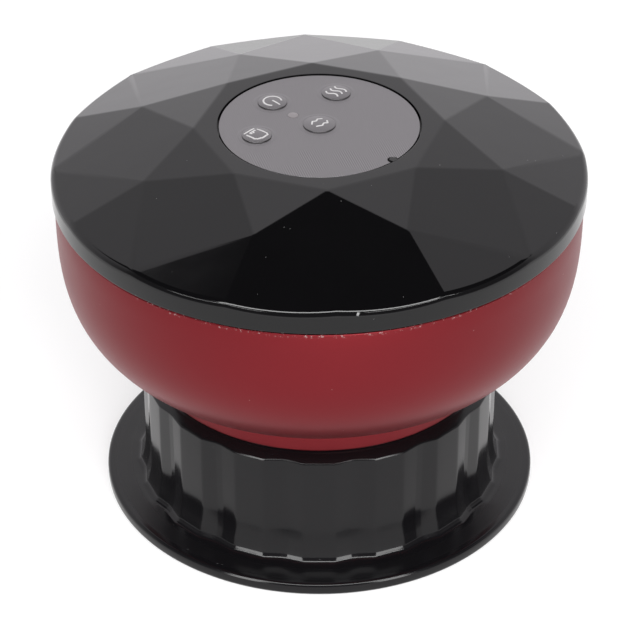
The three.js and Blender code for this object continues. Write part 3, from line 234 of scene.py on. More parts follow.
class Nodes:
    """A node tree that is filled from Python expressions."""

    def __init__(self, tree):
        self.tree = tree
        tree.nodes.clear()

    def node(self, kind, settings=None, inputs=None, output=0):
        """One node with its settings and inputs, which are values or links, as its output's value."""
        node = self.tree.nodes.new("ShaderNode" + kind)
        for name, value in (settings or {}).items():
            if name == "stops":
                stops = node.color_ramp.elements
                while len(stops) < len(value):
                    stops.new(1.0)
                for stop, (place, tone) in zip(stops, value):
                    stop.position, stop.color = place, (tone, tone, tone, 1.0)
            else:
                setattr(node, name, value)
        for name, value in (inputs or {}).items():
            socket = node.inputs[name]
            if isinstance(value, Value):
                self.tree.links.new(value.socket, socket)
            elif socket.type == "RGBA":
                socket.default_value = (*value, 1.0)
            else:
                socket.default_value = value
        return Value(self, node.outputs[output]) if node.outputs else None

    def place(self):
        """A point of the piece at rest, in metres."""
        return self.node("TexCoord", output="Object")

    def axes(self, vector=None):
        split = self.node("SeparateXYZ", {}, {0: vector or self.place()})
        return [Value(self, output) for output in split.socket.node.outputs]

    def radius(self):
        """Distance from the part's upright axis, in metres."""
        x, y, _ = self.axes()
        return (x * x + y * y) ** 0.5

    def noise(self, size, detail=2.0, rough=0.5, stretch=None):
        """Cloudy noise whose features are about size millimetres."""
        place = self.place()
        if stretch:
            place = self.node("VectorMath", {"operation": "MULTIPLY"}, {0: place, 1: stretch})
        return self.node("TexNoise", {}, {
            "Vector": place, "Scale": 1 / (size * MM), "Detail": detail, "Roughness": rough})

    def specks(self, amount):
        """1 on a few small round specks, 0 elsewhere."""
        pitch = 3.4 * MM
        cell = self.node("TexVoronoi", {}, {"Vector": self.place(), "Scale": 1 / pitch})
        return 1 - cell.step(amount * 0.7, amount)

    def mix(self, factor, first, second):
        return self.node("Mix", {"data_type": "RGBA"}, {0: factor, 6: first, 7: second}, 2)

    def bump(self, height, depth, under=None):
        """A bump depth metres deep, over another one where that is given."""
        inputs = {"Height": height, "Distance": depth, "Strength": 1.0}
        if under:
            inputs["Normal"] = under
        return self.node("Bump", {}, inputs)


class Finish(Nodes):
    """A material with one principled surface."""

    def __init__(self, name):
        self.material = bpy.data.materials.new("finish_" + name)
        self.material.use_nodes = True
        super().__init__(self.material.node_tree)

    def surface(self, **sockets):
        """The finished material, from the shader's inputs in small letters."""
        shader = self.node("BsdfPrincipled", {}, {
            key.replace("_", " ").title().replace("Ior", "IOR"): value for key, value in sockets.items()})
        self.node("OutputMaterial", {}, {"Surface": shader})
        return self.material


def shade(base, factor):
    return tuple(min(1.0, channel * factor) for channel in base)


def gloss_black(name, base, roughness, ior, wave, chip, satin_from=1.0):
    """Moulded gloss black: a slightly wavy skin, faint hair scratches, dust, and one chip.

    From satin_from outwards the skin is duller, up to the gloss edge of the flange.
    """
    f = Finish(name)
    radius = f.radius()
    gloss_edge = mm(38.4, 38.8)
    dulled = radius.step(satin_from, satin_from + 0.8 * MM) * (1 - radius.step(*gloss_edge))
    clouds = f.noise(9, 3)
    hair = f.noise(0.5, 2, 0.6, (1, 14, 3))
    dust = f.specks(0.028)
    waves = f.noise(7, 1)
    peel = f.noise(0.6, 2)
    away = f.node("VectorMath", {"operation": "DISTANCE"}, {0: f.place(), 1: chip}, 1)
    chipped = 1 - (away + f.noise(0.3, 2) * (0.5 * MM)).step(*mm(0.55, 0.62))
    marks = (dust * 0.35).high(chipped)
    return f.surface(
        base_color=f.mix(marks, f.mix(clouds, base, shade(base, 1.3)), (0.3, 0.3, 0.3)),
        roughness=roughness + 0.04 * hair * clouds + 0.2 * marks + 0.14 * dulled,
        ior=ior,
        normal=f.bump(peel, 0.6e-6, f.bump(waves, wave, f.bump(chipped, -60e-6))),
    )


def satin_red(name, base, roughness):
    """Metallic lacquer with fine flake, dust, and worn dots along its front edge."""
    f = Finish(name)
    _, y, z = f.axes()
    flake = f.noise(0.22, 3, 0.7)
    clouds = f.noise(16, 3)
    edge = z.step(BOWL[1].z - 0.9 * MM, BOWL[1].z - 0.1 * MM)
    front = (0 - y).step(*mm(26, 46))
    chips = edge * f.noise(0.55, 4, 0.75).step(0.58, 0.63) * front
    specks = f.specks(0.03)
    worn = chips.high(specks * 0.6)
    lacquer = f.mix(flake, shade(base, 0.82), shade(base, 1.18))
    return f.surface(
        base_color=f.mix(worn * 0.8, f.mix(clouds * 0.35, lacquer, shade(base, 0.8)),
                         (0.45, 0.36, 0.35)),
        metallic=0.88 - 0.7 * worn,
        roughness=roughness + 0.08 * flake + 0.05 * clouds,
        ior=1.5,
        coat_weight=0.1,
        coat_roughness=0.2,
        normal=f.bump(flake, 4e-6, f.bump(chips, -40e-6)),
    )


def satin_grey(name, base):
    """Satin metal with fine slanting hairlines, clearest near the front."""
    f = Finish(name)
    _, y, _ = f.axes()
    slant, pitch = radians(-16), 0.39 * MM
    slanted = f.node("VectorRotate", {"rotation_type": "Z_AXIS"}, {"Vector": f.place(), "Angle": slant})
    lines = f.node("TexWave", {"wave_type": "BANDS", "bands_direction": "X"}, {
        "Vector": slanted, "Scale": TAU / pitch / 20}, 1)   # its phase is 20 * scale * x
    patches = f.noise(5, 2).step(0.4, 0.62)
    front = (0 - y).step(*mm(3, 10)) * 0.9 + 0.1
    hair = f.noise(0.35, 3, 0.6, (1, 0.12, 1))
    grain = f.noise(0.12, 2)
    brushed = f.mix((lines - 0.5) * patches * front + 0.5, shade(base, 0.70), shade(base, 1.30))
    return f.surface(
        base_color=f.mix(hair * 0.4, brushed, shade(base, 0.85)),
        metallic=0.9,
        roughness=0.36 + 0.07 * grain,
        normal=f.bump(lines * 0.3 + hair * 0.5 + grain * 0.5, 1.6e-6),
    )


def grained(name, base, grain, tones, rough, depth, clouds=None, **more):
    """Plain stuff: tones are its darkest and lightest, rough its least roughness and the grain's share."""
    f = Finish(name)
    fine = f.noise(*grain)
    uneven = f.noise(*clouds) if clouds else fine
    dark, pale = tones
    least, added = rough
    return f.surface(
        base_color=f.mix(uneven, shade(base, dark), shade(base, pale)),
        roughness=least + added * fine,
        normal=f.bump(fine, depth),
        **more,
    )


def moulded(name, base, rough, grain_size=0.35, grain_depth=6e-6):
    """Matt moulded plastic with a fine grain and softly uneven tone."""
    return grained(name, base, (grain_size, 3, 0.6), (0.88, 1.1), (rough, 0.1), grain_depth, (6, 2))


def metal(name, base, rough, stretch=(1, 1, 12)):
    """Drawn or plated metal with streaks and a few dull spots."""
    f = Finish(name)
    streaks = f.noise(0.25, 3, 0.6, stretch)
    dull = f.noise(2.5, 3).step(0.5, 0.75)
    return f.surface(
        base_color=f.mix(dull, base, shade(base, 0.72)),
        metallic=1.0,
        roughness=rough + 0.12 * streaks + 0.12 * dull,
        normal=f.bump(streaks, 2e-6),
    )


def turned_metal(name, base):
    """Plate faced on a lathe: fine rings about the upright axis."""
    f = Finish(name)
    rings = f.radius().waves(0.5 * MM)
    fine = f.noise(0.3, 3)
    return f.surface(
        base_color=f.mix(fine * 0.4, base, shade(base, 0.8)),
        metallic=1.0,
        roughness=0.24 + 0.1 * fine,
        normal=f.bump(rings * 0.5 + fine, 2.5e-6),
    )


def rubber(name, base, rough=0.75):
    """Grained rubber with a faint pale bloom."""
    f = Finish(name)
    grain = f.noise(0.2, 3, 0.6)
    bloom = f.noise(4, 3).step(0.45, 0.8)
    return f.surface(
        base_color=f.mix(bloom * 0.4, base, shade(base, 1.35)),
        roughness=rough + 0.1 * grain,
        normal=f.bump(grain, 8e-6),
    )


def open_foam(name, base):
    """Filter foam: pale walls round open cells that are darkened as painted shade."""
    f = Finish(name)
    cells = f.node("TexVoronoi", {"feature": "DISTANCE_TO_EDGE"},
                   {"Vector": f.place(), "Scale": 1 / (0.6 * MM)})
    walls = 1 - cells.step(0.02, 0.16)
    return f.surface(
        # painted shade: the open cells are coloured darker than the walls
        base_color=f.mix(walls, shade(base, 0.35), base),
        roughness=0.95 - 0.05 * walls,
        normal=f.bump(walls, 0.15 * MM),
    )


def circuit(name, base):
    """Lacquered board with copper tracks showing through."""
    f = Finish(name)
    x, _, _ = f.axes()
    wander = f.noise(6, 1) * (3 * MM)
    pitch = 1.8 * MM
    lines = 1 - (x + wander).there_and_back(pitch / 2).step(*mm(0.16, 0.22))
    grain = f.noise(0.3, 2)
    return f.surface(
        base_color=f.mix(lines * 0.7, base, shade(base, 2.1)),
        roughness=0.38 + 0.1 * grain,
        normal=f.bump(lines + grain * 0.1, 20e-6),
    )


def wound(name, base):
    """Enamelled wire in even turns round an upright bobbin, darker between the turns as painted shade."""
    f = Finish(name)
    _, _, z = f.axes()
    turns = z.waves(0.35 * MM)
    clouds = f.noise(1.5, 2)
    return f.surface(
        # painted shade: the colour darkens in the grooves between the turns
        base_color=f.mix(turns * 0.5 + 0.5, shade(base, 0.45), base),
        metallic=0.9,
        roughness=0.3 + 0.15 * clouds,
        normal=f.bump(turns, 60e-6),
    )


def clear(name, base):
    """Frosted clear plastic."""
    return grained(name, base, (0.15, 3), (0.9, 1.0), (0.3, 0.15), 2e-6, ior=1.49)


def smooth_jacket(name, base):
    """Smooth plastic sleeve, film or ink with faint scuffs."""
    return grained(name, base, (1.2, 4, 0.7), (0.85, 1.15), (0.38, 0.2), 5e-6)


FINISHES = {}


def make_finishes(s):
    """One material for each slot of the pieces, and one each for the cup, the signs and the port's contacts.
    """
    black, grey, gloss = s.black_gloss, s.panel_grey, s.gloss_roughness
    cover_chip, cup_chip = mm(6.3, -46.75, 65.3), mm(30, 26, 2.2)
    recipes = {
        "black_gloss": (gloss_black, black, gloss, 1.38, 20e-6, cover_chip),
        "cup_gloss": (gloss_black, shade(black, 1.7), gloss + 0.06, 1.34, 34e-6, cup_chip, 34.8 * MM),
        "red_satin": (satin_red, s.red_satin, s.satin_roughness),
        "panel_grey": (satin_grey, grey),
        "button_grey": (satin_grey, shade(grey, 0.97)),
        "clear_window": (clear, (0.225, 0.205, 0.212)),
        "black_matt": (moulded, (0.012, 0.012, 0.013), 0.5),
        "silicone": (rubber, (0.40, 0.38, 0.36), 0.55),
        "dark_rubber": (rubber, (0.02, 0.02, 0.021)),
        "heat_metal": (turned_metal, (0.56, 0.57, 0.58)),
        "amber_film": (smooth_jacket, (0.42, 0.16, 0.03)),
        "foam": (open_foam, (0.62, 0.60, 0.55)),
        "frame_white": (moulded, (0.56, 0.55, 0.51), 0.45),
        "board_green": (circuit, (0.012, 0.085, 0.04)),
        "steel": (metal, (0.48, 0.48, 0.49), 0.25),
        "copper": (wound, (0.50, 0.19, 0.07)),
        "cell_sleeve": (smooth_jacket, (0.03, 0.14, 0.36)),
        "red_wire": (smooth_jacket, (0.42, 0.015, 0.015)),
        "black_wire": (smooth_jacket, (0.012, 0.012, 0.012)),
        "white_plastic": (moulded, (0.66, 0.65, 0.61), 0.4, 0.2, 2e-6),
        "sign_white": (smooth_jacket, s.sign_white),
        "contact_gold": (metal, (0.75, 0.52, 0.18), 0.2, (1, 10, 1)),
    }
    for name, (make, *values) in recipes.items():
        FINISHES[name] = make(name, *values)


# Outlines and skins

def polar(radius, angle, centre=(0.0, 0.0)):
    return (centre[0] + radius * cos(angle), centre[1] + radius * sin(angle))


def arc(radius, start, end, parts, centre=(0.0, 0.0)):
    return [polar(radius, start + (end - start) * i / parts, centre) for i in range(parts + 1)]


def soften(outline, steps=4):
    """A closed outline of (a, b, rounding in millimetres, ...), with its corners rounded into arcs."""
    made = []
    for i, (a, b, radius, *rest) in enumerate(outline):
        corner = Vector((a, b))
        if radius <= 0:
            made.append((a, b, *rest))
            continue
        back = Vector(outline[i - 1][:2]) - corner
        ahead = Vector(outline[(i + 1) % len(outline)][:2]) - corner
        half = back.angle(ahead) / 2
        reach = min(radius * MM / tan(half), 0.49 * back.length, 0.49 * ahead.length)
        middle = corner + (back.normalized() + ahead.normalized()).normalized() * (reach / cos(half))
        start = corner + back.normalized() * reach - middle
        end = corner + ahead.normalized() * reach - middle
        sweep = atan2(start.x * end.y - start.y * end.x, start.dot(end))
        for step in range(steps + 1):
            t = sweep * step / steps
            made.append((middle.x + start.x * cos(t) - start.y * sin(t),
                         middle.y + start.x * sin(t) + start.y * cos(t), *rest))
    return made


def in_short_steps(line, step):
    """A line's points, with more between them where they stand further apart than step."""
    points = []
    for (ax, ay), (bx, by) in zip(line, line[1:]):
        parts = max(1, ceil(hypot(bx - ax, by - ay) / step))
        points += [(ax + (bx - ax) * k / parts, ay + (by - ay) * k / parts) for k in range(parts)]
    return points + [line[-1]]


def level_ring(radius, z, sides=ROUND, centre=(0.0, 0.0), first=0.0):
    """Points of a level circle, from the angle first on."""
    return [(*polar(radius, first + TAU * i / sides, centre), z) for i in range(sides)]


def join_rings(bm, rings):
    """Quads between rings of vertices."""
    for low, high in zip(rings, rings[1:]):
        for i, corner in enumerate(low):
            after = (i + 1) % len(low)
            bm.faces.new((corner, low[after], high[after], high[i]))


def add_skin(bm, rings, looped=True):
    """Quads between equal rings of points, each ring closed on itself."""
    rows = [[bm.verts.new(point) for point in ring] for ring in rings]
    join_rings(bm, rows + rows[:1] if looped else rows)
    return rows


def add_turned(bm, outline, sides=ROUND, centre=(0.0, 0.0), steps=4):
    """A solid of revolution from (radius, z, rounding) corners."""
    add_skin(bm, [level_ring(max(r, 0.0), z, sides, centre) for r, z in soften(outline, steps)])


def turned(outline, sides=ROUND, centre=(0.0, 0.0), steps=4):
    """A new mesh that holds one solid of revolution."""
    bm = bmesh.new()
    add_turned(bm, outline, sides, centre, steps)
    return bm


def add_rod(bm, radius, low, high, centre=(0.0, 0.0), sides=SMALL_ROUND, edge=0.0, bore=0.0):
    """An upright rod, or a tube where it has a bore, whose rims are softened."""
    inside = edge if bore else 0
    outline = [(bore, low, inside), (radius, low, edge), (radius, high, edge), (bore, high, inside)]
    add_turned(bm, outline, sides, centre, steps=3)


def prisms(*solids):
    """A new mesh of solids, each carried through rings of points and capped at both ends."""
    bm = bmesh.new()
    for rings in solids:
        rows = add_skin(bm, rings, looped=False)
        bm.faces.new(rows[0])
        bm.faces.new(rows[-1])
    return bm


def rounded_box(width, height, corner, steps=6):
    w, h = width / 2, height / 2
    return soften([(w, -h, corner), (w, h, corner), (-w, h, corner), (-w, -h, corner)], steps)


def tidy(bm):
    """Joins doubled points, takes out faces without area and turns the rest outwards."""
    bmesh.ops.remove_doubles(bm, verts=bm.verts, dist=1e-7)
    bmesh.ops.dissolve_degenerate(bm, edges=bm.edges, dist=1e-8)
    bmesh.ops.recalc_face_normals(bm, faces=bm.faces)


def add_object(name, data):
    thing = bpy.data.objects.new(name, data)
    bpy.context.scene.collection.objects.link(thing)
    return thing


def object_of(name, bm):
    """A new object from bm, which is cleaned and then freed."""
    mesh = bpy.data.meshes.new(name)
    tidy(bm)
    bm.to_mesh(mesh)
    bm.free()
    return add_object(name, mesh)


def mesh_of(thing):
    """A copy of an object's mesh with its modifiers or curve worked out."""
    graph = bpy.context.evaluated_depsgraph_get()
    return bpy.data.meshes.new_from_object(thing.evaluated_get(graph))


def cut_away(piece, tool_mesh):
    """Takes the tool's solids out of the piece, and leaves a plain mesh."""
    tool = object_of(piece.name + "_tool", tool_mesh)
    modifier = piece.modifiers.new("Cut", "BOOLEAN")
    modifier.operation, modifier.solver, modifier.object = "DIFFERENCE", "EXACT", tool
    made = mesh_of(piece)
    if len(made.polygons) < len(piece.data.polygons) / 2:
        raise RuntimeError(f"the cut in {piece.name} took away too much")
    piece.modifiers.clear()
    piece.data = made
    bpy.data.objects.remove(tool)


def finish_piece(piece, body, slot, *nodes, finish=None, sharp=30, weighted=False):
    """Shades, paints and seats a piece on its body, in place of the nodes it stands for."""
    if piece.type == "MESH":
        piece.data.materials.clear()
        piece.data.shade_smooth()
        piece.data.set_sharp_from_angle(angle=radians(sharp))
        if weighted:
            piece.modifiers.new("Normals", "WEIGHTED_NORMAL").keep_sharp = True
    piece.data.materials.append(FINISHES[finish or slot])
    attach(piece, body)
    if nodes:
        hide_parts(*nodes)
    return piece


def add_piece(name, bm, slot, *nodes, body="head", cut=None, **look):
    """A finished piece from bm, with the solids of cut taken out of it."""
    piece = object_of(name, bm)
    if cut is not None:
        cut_away(piece, cut)
    return finish_piece(piece, body, slot, *nodes, **look)


def on_panel(settings, x, y):
    """A place in the panel's own frame, as a place in the part's frame."""
    c, s = cos(settings.turn), sin(settings.turn)
    return (x * c - y * s, x * s + y * c)


def middle_of(node):
    low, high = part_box(node)
    return ((low.x + high.x) / 2, (low.y + high.y) / 2)


# Pieces

def build_cup(s):
    """The cup, turned from one section whose wall and shoulder follow the flutes."""
    pitch = TAU / s.flute_count
    rib_half, flute_half = pitch * s.rib_share / 2, pitch * s.flute_share / 2
    corners = []
    for rib in range(s.flute_count):
        centre = rib * pitch - pi / 2
        for middle, half, sunk in ((0, rib_half, 0), (pitch / 2, flute_half, 1)):
            radius = (s.wall_radius - s.flute_depth * sunk) / cos(half)
            corners += [(*polar(radius, centre + middle + side * half), 2.2) for side in (-1, 1)]
    points = soften(corners)
    points = in_short_steps(points + points[:1], 1.1 * MM)[:-1]
    flutes = [(atan2(y, x), s.wall_radius - hypot(x, y)) for x, y in points]   # angle, depth there
    top, low = s.height, s.flange_height
    shoulder_low, shoulder_top = top - 1.5 * MM, top - 0.45 * MM
    shoulder_slope = (shoulder_top - shoulder_low) / (s.wall_radius - s.neck_radius)
    hollow_radius, hollow_top, hollow_turn = 16.3 * MM, low + 5.8 * MM, radians(11.3)
    hollow = [(s.wall_radius + hollow_radius * (1 - cos(hollow_turn * part)),
               hollow_top - hollow_radius * sin(hollow_turn * part), 0, 1, 0)
              for part in (1, 0.75, 0.5, 0.25, 0)]
    section = soften([   # radius, height, rounding, share of the flutes' depth, and drop with them
        (s.bore_radius + 0.8 * MM, 0, 0.25, 0, 0),
        (s.flange_radius, 0, 0.6, 0, 0),
        (s.flange_radius, low, 0.7, 0, 0),
        (s.wall_radius + 4.6 * MM, low - 0.02 * MM, 1.0, 0, 0),
        (s.wall_radius + 0.98 * MM, low, 1.3, 1, 0),
        *hollow,
        (s.wall_radius, shoulder_low, 0.5, 0.7, shoulder_slope),
        (s.neck_radius, shoulder_top, 0.35, 0, 0),
        (s.neck_radius - 0.6 * MM, top, 0.3, 0, 0),
        (s.bore_radius, top, 0.3, 0, 0),
        (s.bore_radius, 0.8 * MM, 0.3, 0, 0),
    ], 5)
    rings = [[(*polar(radius - sunk * fluted, angle), z + sunk * fluted * slope) for angle, sunk in flutes]
             for radius, z, fluted, slope in section]
    bm = bmesh.new()
    add_skin(bm, rings)
    add_piece("cup_shell", bm, "black_gloss", "suction_cup", body="cup", finish="cup_gloss", sharp=60)


def belly(s, rim, foot, start, low, height, steps):
    """The bowl's curve as corners, from the radius start up to the rim."""
    span = rim - foot
    first = asin(((start - foot) / span) ** (s.round_power / 2))
    points = []
    for step in range(steps + 1):
        angle = first + (pi / 2 - first) * step / steps
        out = sin(angle) ** (2 / s.round_power)
        drop = abs(cos(angle)) ** (2 / s.drop_power)
        points.append((foot + span * out, low + height * (1 - drop), 0))
    return points


def port_outline(grow):
    """The charging port's outline as (x, z), grown all round."""
    width = PORT[1].x - PORT[0].x + 2 * grow
    height = PORT[1].z - PORT[0].z + 2 * grow
    middle = (PORT[1].z + PORT[0].z) / 2
    return [(x, middle + z) for x, z in rounded_box(width, height, height / 2 / MM - 0.1)]


def build_bowl(s):
    low, top = BOWL[0].z - s.neck_drop, BOWL[1].z
    floor = BOWL[0].z + s.neck_height
    underside = floor + s.belly_lift
    outside = belly(s, s.rim_radius, s.foot_radius, s.neck_radius, underside, top - underside, 56)
    inside = belly(s, s.rim_radius - s.wall, s.foot_radius, s.foot_radius, floor + s.wall,
                   top - floor - s.wall, 32)
    outside[0] = (*outside[0][:2], 0)
    outside[-1] = (*outside[-1][:2], 0.25)
    opening = s.foot_radius - 3 * MM
    port_cut = mm(38, 50)   # from inside the bowl's wall to outside it
    bm = turned([
        (s.neck_bore, low, 0.2),
        (s.neck_radius, low, 0.45),
        *outside,
        *reversed(inside),
        (opening, floor + s.wall, 0.2),
        (opening, floor, 0.2),
        (s.neck_bore, floor, 0),
    ])
    tool = prisms([[(x, y, z) for x, z in port_outline(0.4 * MM)] for y in port_cut])
    add_piece("bowl_shell", bm, "red_satin", "housing_bowl", cut=tool, sharp=40)


def crown(bm, s, band, rim, corner_z, middle, table, flat_z):
    """The crown's facets, cut round at the rim and carried in an arc into the upright band.

    It gives the arc's lowest ring, the table's corners and the ends of each edge between facets.
    """
    per = ROUND // (2 * s.sides)
    pitch = TAU / s.sides
    reach = rim * cos(pitch / 4)
    middle_z = flat_z - (flat_z - corner_z) * (middle * cos(pi / s.sides) - table) / (rim - table)
    slope = (middle_z - corner_z) / (reach - middle * cos(pitch / 4))
    tilt = atan(slope)
    bend = (band - rim) / (1 - sin(tilt))
    rings = [[] for _ in range(10)]
    for i in range(ROUND):
        angle = s.turn + TAU * i / ROUND
        z = corner_z - slope * (rim * cos(((i % per) / per - 0.5) * pitch / 2) - reach)
        for step, ring in enumerate(rings):
            up = (pi / 2 - tilt) * (1 - step / (len(rings) - 1))
            radius = band - bend * (1 - cos(up))
            height = z - bend * (cos(tilt) - sin(up))
            ring.append(bm.verts.new((*polar(radius, angle), height)))
    inner = [bm.verts.new((*polar(table, s.turn + k * pitch), flat_z)) for k in range(s.sides)]
    mids = [bm.verts.new((*polar(middle, s.turn + (k + 0.5) * pitch), middle_z)) for k in range(s.sides)]
    join_rings(bm, rings)
    edge = rings[0]
    ridges = []
    for k in range(s.sides):
        after, before, first = (k + 1) % s.sides, k - 1, 2 * k * per
        bm.faces.new((inner[k], mids[k], inner[after]))
        bm.faces.new((inner[k], mids[before], edge[first], mids[k]))
        for part in (0, 1):
            run = [edge[(first + part * per + i) % ROUND] for i in range(per + 1)]
            bm.faces.new((mids[k], *run))
        ridges += [(inner[k], inner[after]), (inner[k], mids[k]), (inner[after], mids[k]),
                   (mids[k], edge[first]), (mids[before], edge[first]), (mids[k], edge[first + per])]
    return rings[-1], inner, ridges


def crown_height(s, flat_z, radius):
    """About how high the crown stands at a radius: level over the table, then falling evenly."""
    table_side = s.table_radius * 0.92
    run = s.band_radius - s.rim_inset - s.table_radius
    return flat_z - max(0.0, radius - table_side) * s.crown_rise / run


def cover_levels(s):
    """Heights of the table, the rim, the band's top and foot, the recess's floor and its underside."""
    table = COVER[1].z
    rim = table - s.crown_rise
    band_top = rim - s.rim_rise
    recess = DISC[0].z - 0.3 * MM
    return table, rim, band_top, band_top - s.band_height, recess, recess - 1.5 * MM


def build_cover(s, p):
    """The faceted shell with its band and the panel's recess, open below."""
    table_z, rim_z, _, band_low, recess_z, under_z = cover_levels(s)
    w, r, table = s.wall, s.band_radius, s.table_radius
    rim = r - s.rim_inset
    middle = table + (rim - table) * s.middle_share
    bm = bmesh.new()
    circle, inner, ridges = crown(bm, s, r, rim, rim_z, middle, table, table_z)
    circle2, inner2, _ = crown(bm, s, r - w, rim - w, rim_z - w, middle - w / 2, table, table_z - w)

    def ring_at(radius, z, count=ROUND):
        return [bm.verts.new(point) for point in level_ring(radius, z, count, first=s.turn)]

    foot, bevel = mm(0.3, 0.09)
    join_rings(bm, [circle, ring_at(r, band_low + foot), ring_at(r - bevel, band_low + bevel),
                    ring_at(r - foot, band_low), ring_at(r - w, band_low), circle2])
    count, lip = ROUND // 2, 0.14 * MM
    well = [ring_at(s.recess_radius + out, z, count) for out, z in (
        (lip, table_z), (lip * 0.3, table_z - lip * 0.3), (0, table_z - lip), (0, recess_z))]
    outer_well = [ring_at(s.recess_radius + w, z, count) for z in (table_z - w, under_z)]
    join_rings(bm, well)
    join_rings(bm, outer_well)
    bm.faces.new(well[-1])
    bm.faces.new(outer_well[-1])
    parts = count // s.sides
    for ring, corners in ((well[0], inner), (outer_well[0], inner2)):
        for k in range(s.sides):
            run = [ring[(k * parts + i) % count] for i in range(parts + 1)]
            bm.faces.new((corners[k], corners[(k + 1) % s.sides], *reversed(run)))
    bmesh.ops.recalc_face_normals(bm, faces=bm.faces)
    soft = [bm.edges.get(ends) for ends in ridges]
    bmesh.ops.bevel(bm, geom=soft, offset=s.facet_round, offset_type="OFFSET", segments=3,
                    profile=0.5, affect="EDGES", clamp_overlap=True)
    tool = bmesh.new()
    low, high, clearance = under_z - 1 * MM, recess_z + 1 * MM, 0.25 * MM
    for (x, y), radius in key_places(p).values():
        add_rod(tool, radius + clearance, low, high, on_panel(p, x, y))
    add_rod(tool, p.window_radius + clearance, low, high, middle_of("indicator_window"), 32)
    add_piece("cover_shell", bm, "black_gloss", "top_cover", cut=tool, sharp=35, weighted=True)


def build_tab(s, p):
    """The cover's small tab, which stands in the panel's notch."""
    table_z, _, _, _, recess_z, _ = cover_levels(s)
    half, reach = p.notch_radius - 0.3 * MM, p.notch_reach
    outline = [*arc(half, pi, TAU, 24, (0.0, reach)), (half, s.recess_radius), (-half, s.recess_radius)]
    tab = prisms([
        [(*on_panel(p, x * grow, reach + (y - reach) * (grow if y < reach else 1)), z) for x, y in outline]
        for z, grow in ((recess_z, 1.0), (table_z - 0.1 * MM, 1.0), (table_z - 0.02 * MM, 0.9))])
    add_piece("cover_tab", tab, "black_gloss")


def build_bosses(s):
    """The lip that sits in the bowl, and the bosses for the cover's and the board's screws."""
    table_z, _, band_top, band_low, _, _ = cover_levels(s)
    inset, edge = s.wall * 0.6, 0.2
    lip_radius, lip_wall = BOWL[1].x - s.wall - 0.3 * MM, 1.4 * MM
    foot, seat = COVER[0].z, band_low + 0.05 * MM
    bm = turned([
        (lip_radius - lip_wall, foot, edge),
        (lip_radius, foot, 0.4),
        (lip_radius, seat, 0),
        (s.band_radius - inset, seat, 0),
        (s.band_radius - inset, band_top - inset, 0),
        (lip_radius - lip_wall, band_low + lip_wall, 0.3),
    ], 96)
    for i in range(1, 5):
        x, y = middle_of(f"cover_screw_{i}")
        radius = 3.2 * MM
        height = crown_height(s, table_z, hypot(x, y) + radius) - inset
        add_rod(bm, radius, foot + 0.3 * MM, height, (x, y), 32, edge, bore=1.35 * MM)
    for i in (1, 2):
        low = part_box("control_board")[1].z + 0.3 * MM
        place = middle_of(f"board_screw_{i}")
        add_rod(bm, 2.3 * MM, low, table_z - inset, place, 32, edge, bore=1.15 * MM)
    add_piece("cover_bosses", bm, "black_gloss", sharp=40)


def key_places(p):
    """Each key's place in the panel's own frame, and its radius."""
    small, large = p.small_key_radius, p.large_key_radius
    return {
        "power": (mm(0, -11.4), small),
        "heat": (mm(-10.2, -5.4), small),
        "vibration": (mm(0, 0), large),
        "mode": (mm(10.2, -5.4), small),
    }


def flat_plate(name, loops, low, high, edge):
    """A flat plate from closed loops, holes among them, with softened edges."""
    data = bpy.data.curves.new(name, "CURVE")
    data.dimensions, data.fill_mode = "2D", "BOTH"
    data.extrude = (high - low) / 2 - edge
    data.bevel_depth, data.bevel_resolution, data.offset = edge, 2, -edge
    for loop in loops:
        add_line(data, [(x, y, 0.0) for x, y in loop]).use_cyclic_u = True
    made = add_object(name, data)
    bpy.context.view_layer.update()
    bm = bmesh.new()
    bm.from_mesh(mesh_of(made))
    bpy.data.objects.remove(made)
    bmesh.ops.translate(bm, verts=bm.verts, vec=(0.0, 0.0, (low + high) / 2))
    return bm


def add_line(curve, points):
    """One straight-edged spline through points."""
    spline = curve.splines.new("POLY")
    spline.points.add(len(points) - 1)
    for point, place in zip(spline.points, points):
        point.co = (*place, 1.0)
    return spline


def build_panel(p):
    """The panel with its notch, its holes and the low rings round them, and the light's window."""
    radius, reach, notch = p.radius, p.notch_reach, p.notch_radius
    height = (radius ** 2 + reach ** 2 - notch ** 2) / (2 * reach)   # where the notch meets the rim
    side = sqrt(radius ** 2 - height ** 2)
    drop = height - reach
    rim = arc(radius, atan2(height, -side), atan2(height, side) + TAU, 150)
    rim += arc(notch, atan2(drop, side), atan2(drop, -side) - TAU, 20, (0.0, reach))[1:-1]
    keys = key_places(p).values()
    window = middle_of("indicator_window")
    holes = [[on_panel(p, *polar(key + p.key_gap, TAU * i / 72, place)) for i in range(72)]
             for place, key in keys]
    holes.append([polar(p.window_radius + 0.015 * MM, TAU * i / 40, window) for i in range(40)])
    low, high = DISC[0].z, DISC[1].z - p.sink
    rim = [on_panel(p, *point) for point in rim]
    bm = flat_plate("panel_plate", [rim, *holes], low, high, 0.06 * MM)
    for place, key in keys:
        inner, outer, under = key + 0.02 * MM, key + 1.0 * MM, high - 0.2 * MM
        add_turned(bm, [
            (inner, under, 0),
            (outer, under, 0),
            (outer, high - 0.005 * MM, 0),
            (key + 0.45 * MM, high + 0.05 * MM, 0.7),
            (inner, high + 0.02 * MM, 0),
        ], SMALL_ROUND, on_panel(p, *place))
    add_piece("panel_disc", bm, "panel_grey", "control_panel", sharp=12)

    low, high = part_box("indicator_window")
    collar = KEY[0].z + 0.7 * MM
    bm = bmesh.new()
    add_rod(bm, p.window_radius + 0.01 * MM, low.z, high.z - p.sink + 0.04 * MM, window, 48, 0.08)
    add_rod(bm, p.window_radius + 0.6 * MM, collar, collar + 0.5 * MM, window, 40, 0.1)
    add_piece("light_window", bm, "clear_window", "indicator_window")


def key_dome(p, reach, radius):
    """Height of a key's dome above the panel, at a reach from its middle."""
    return p.key_step + (p.key_rise - p.key_step) * (1 - (reach / radius) ** 2)


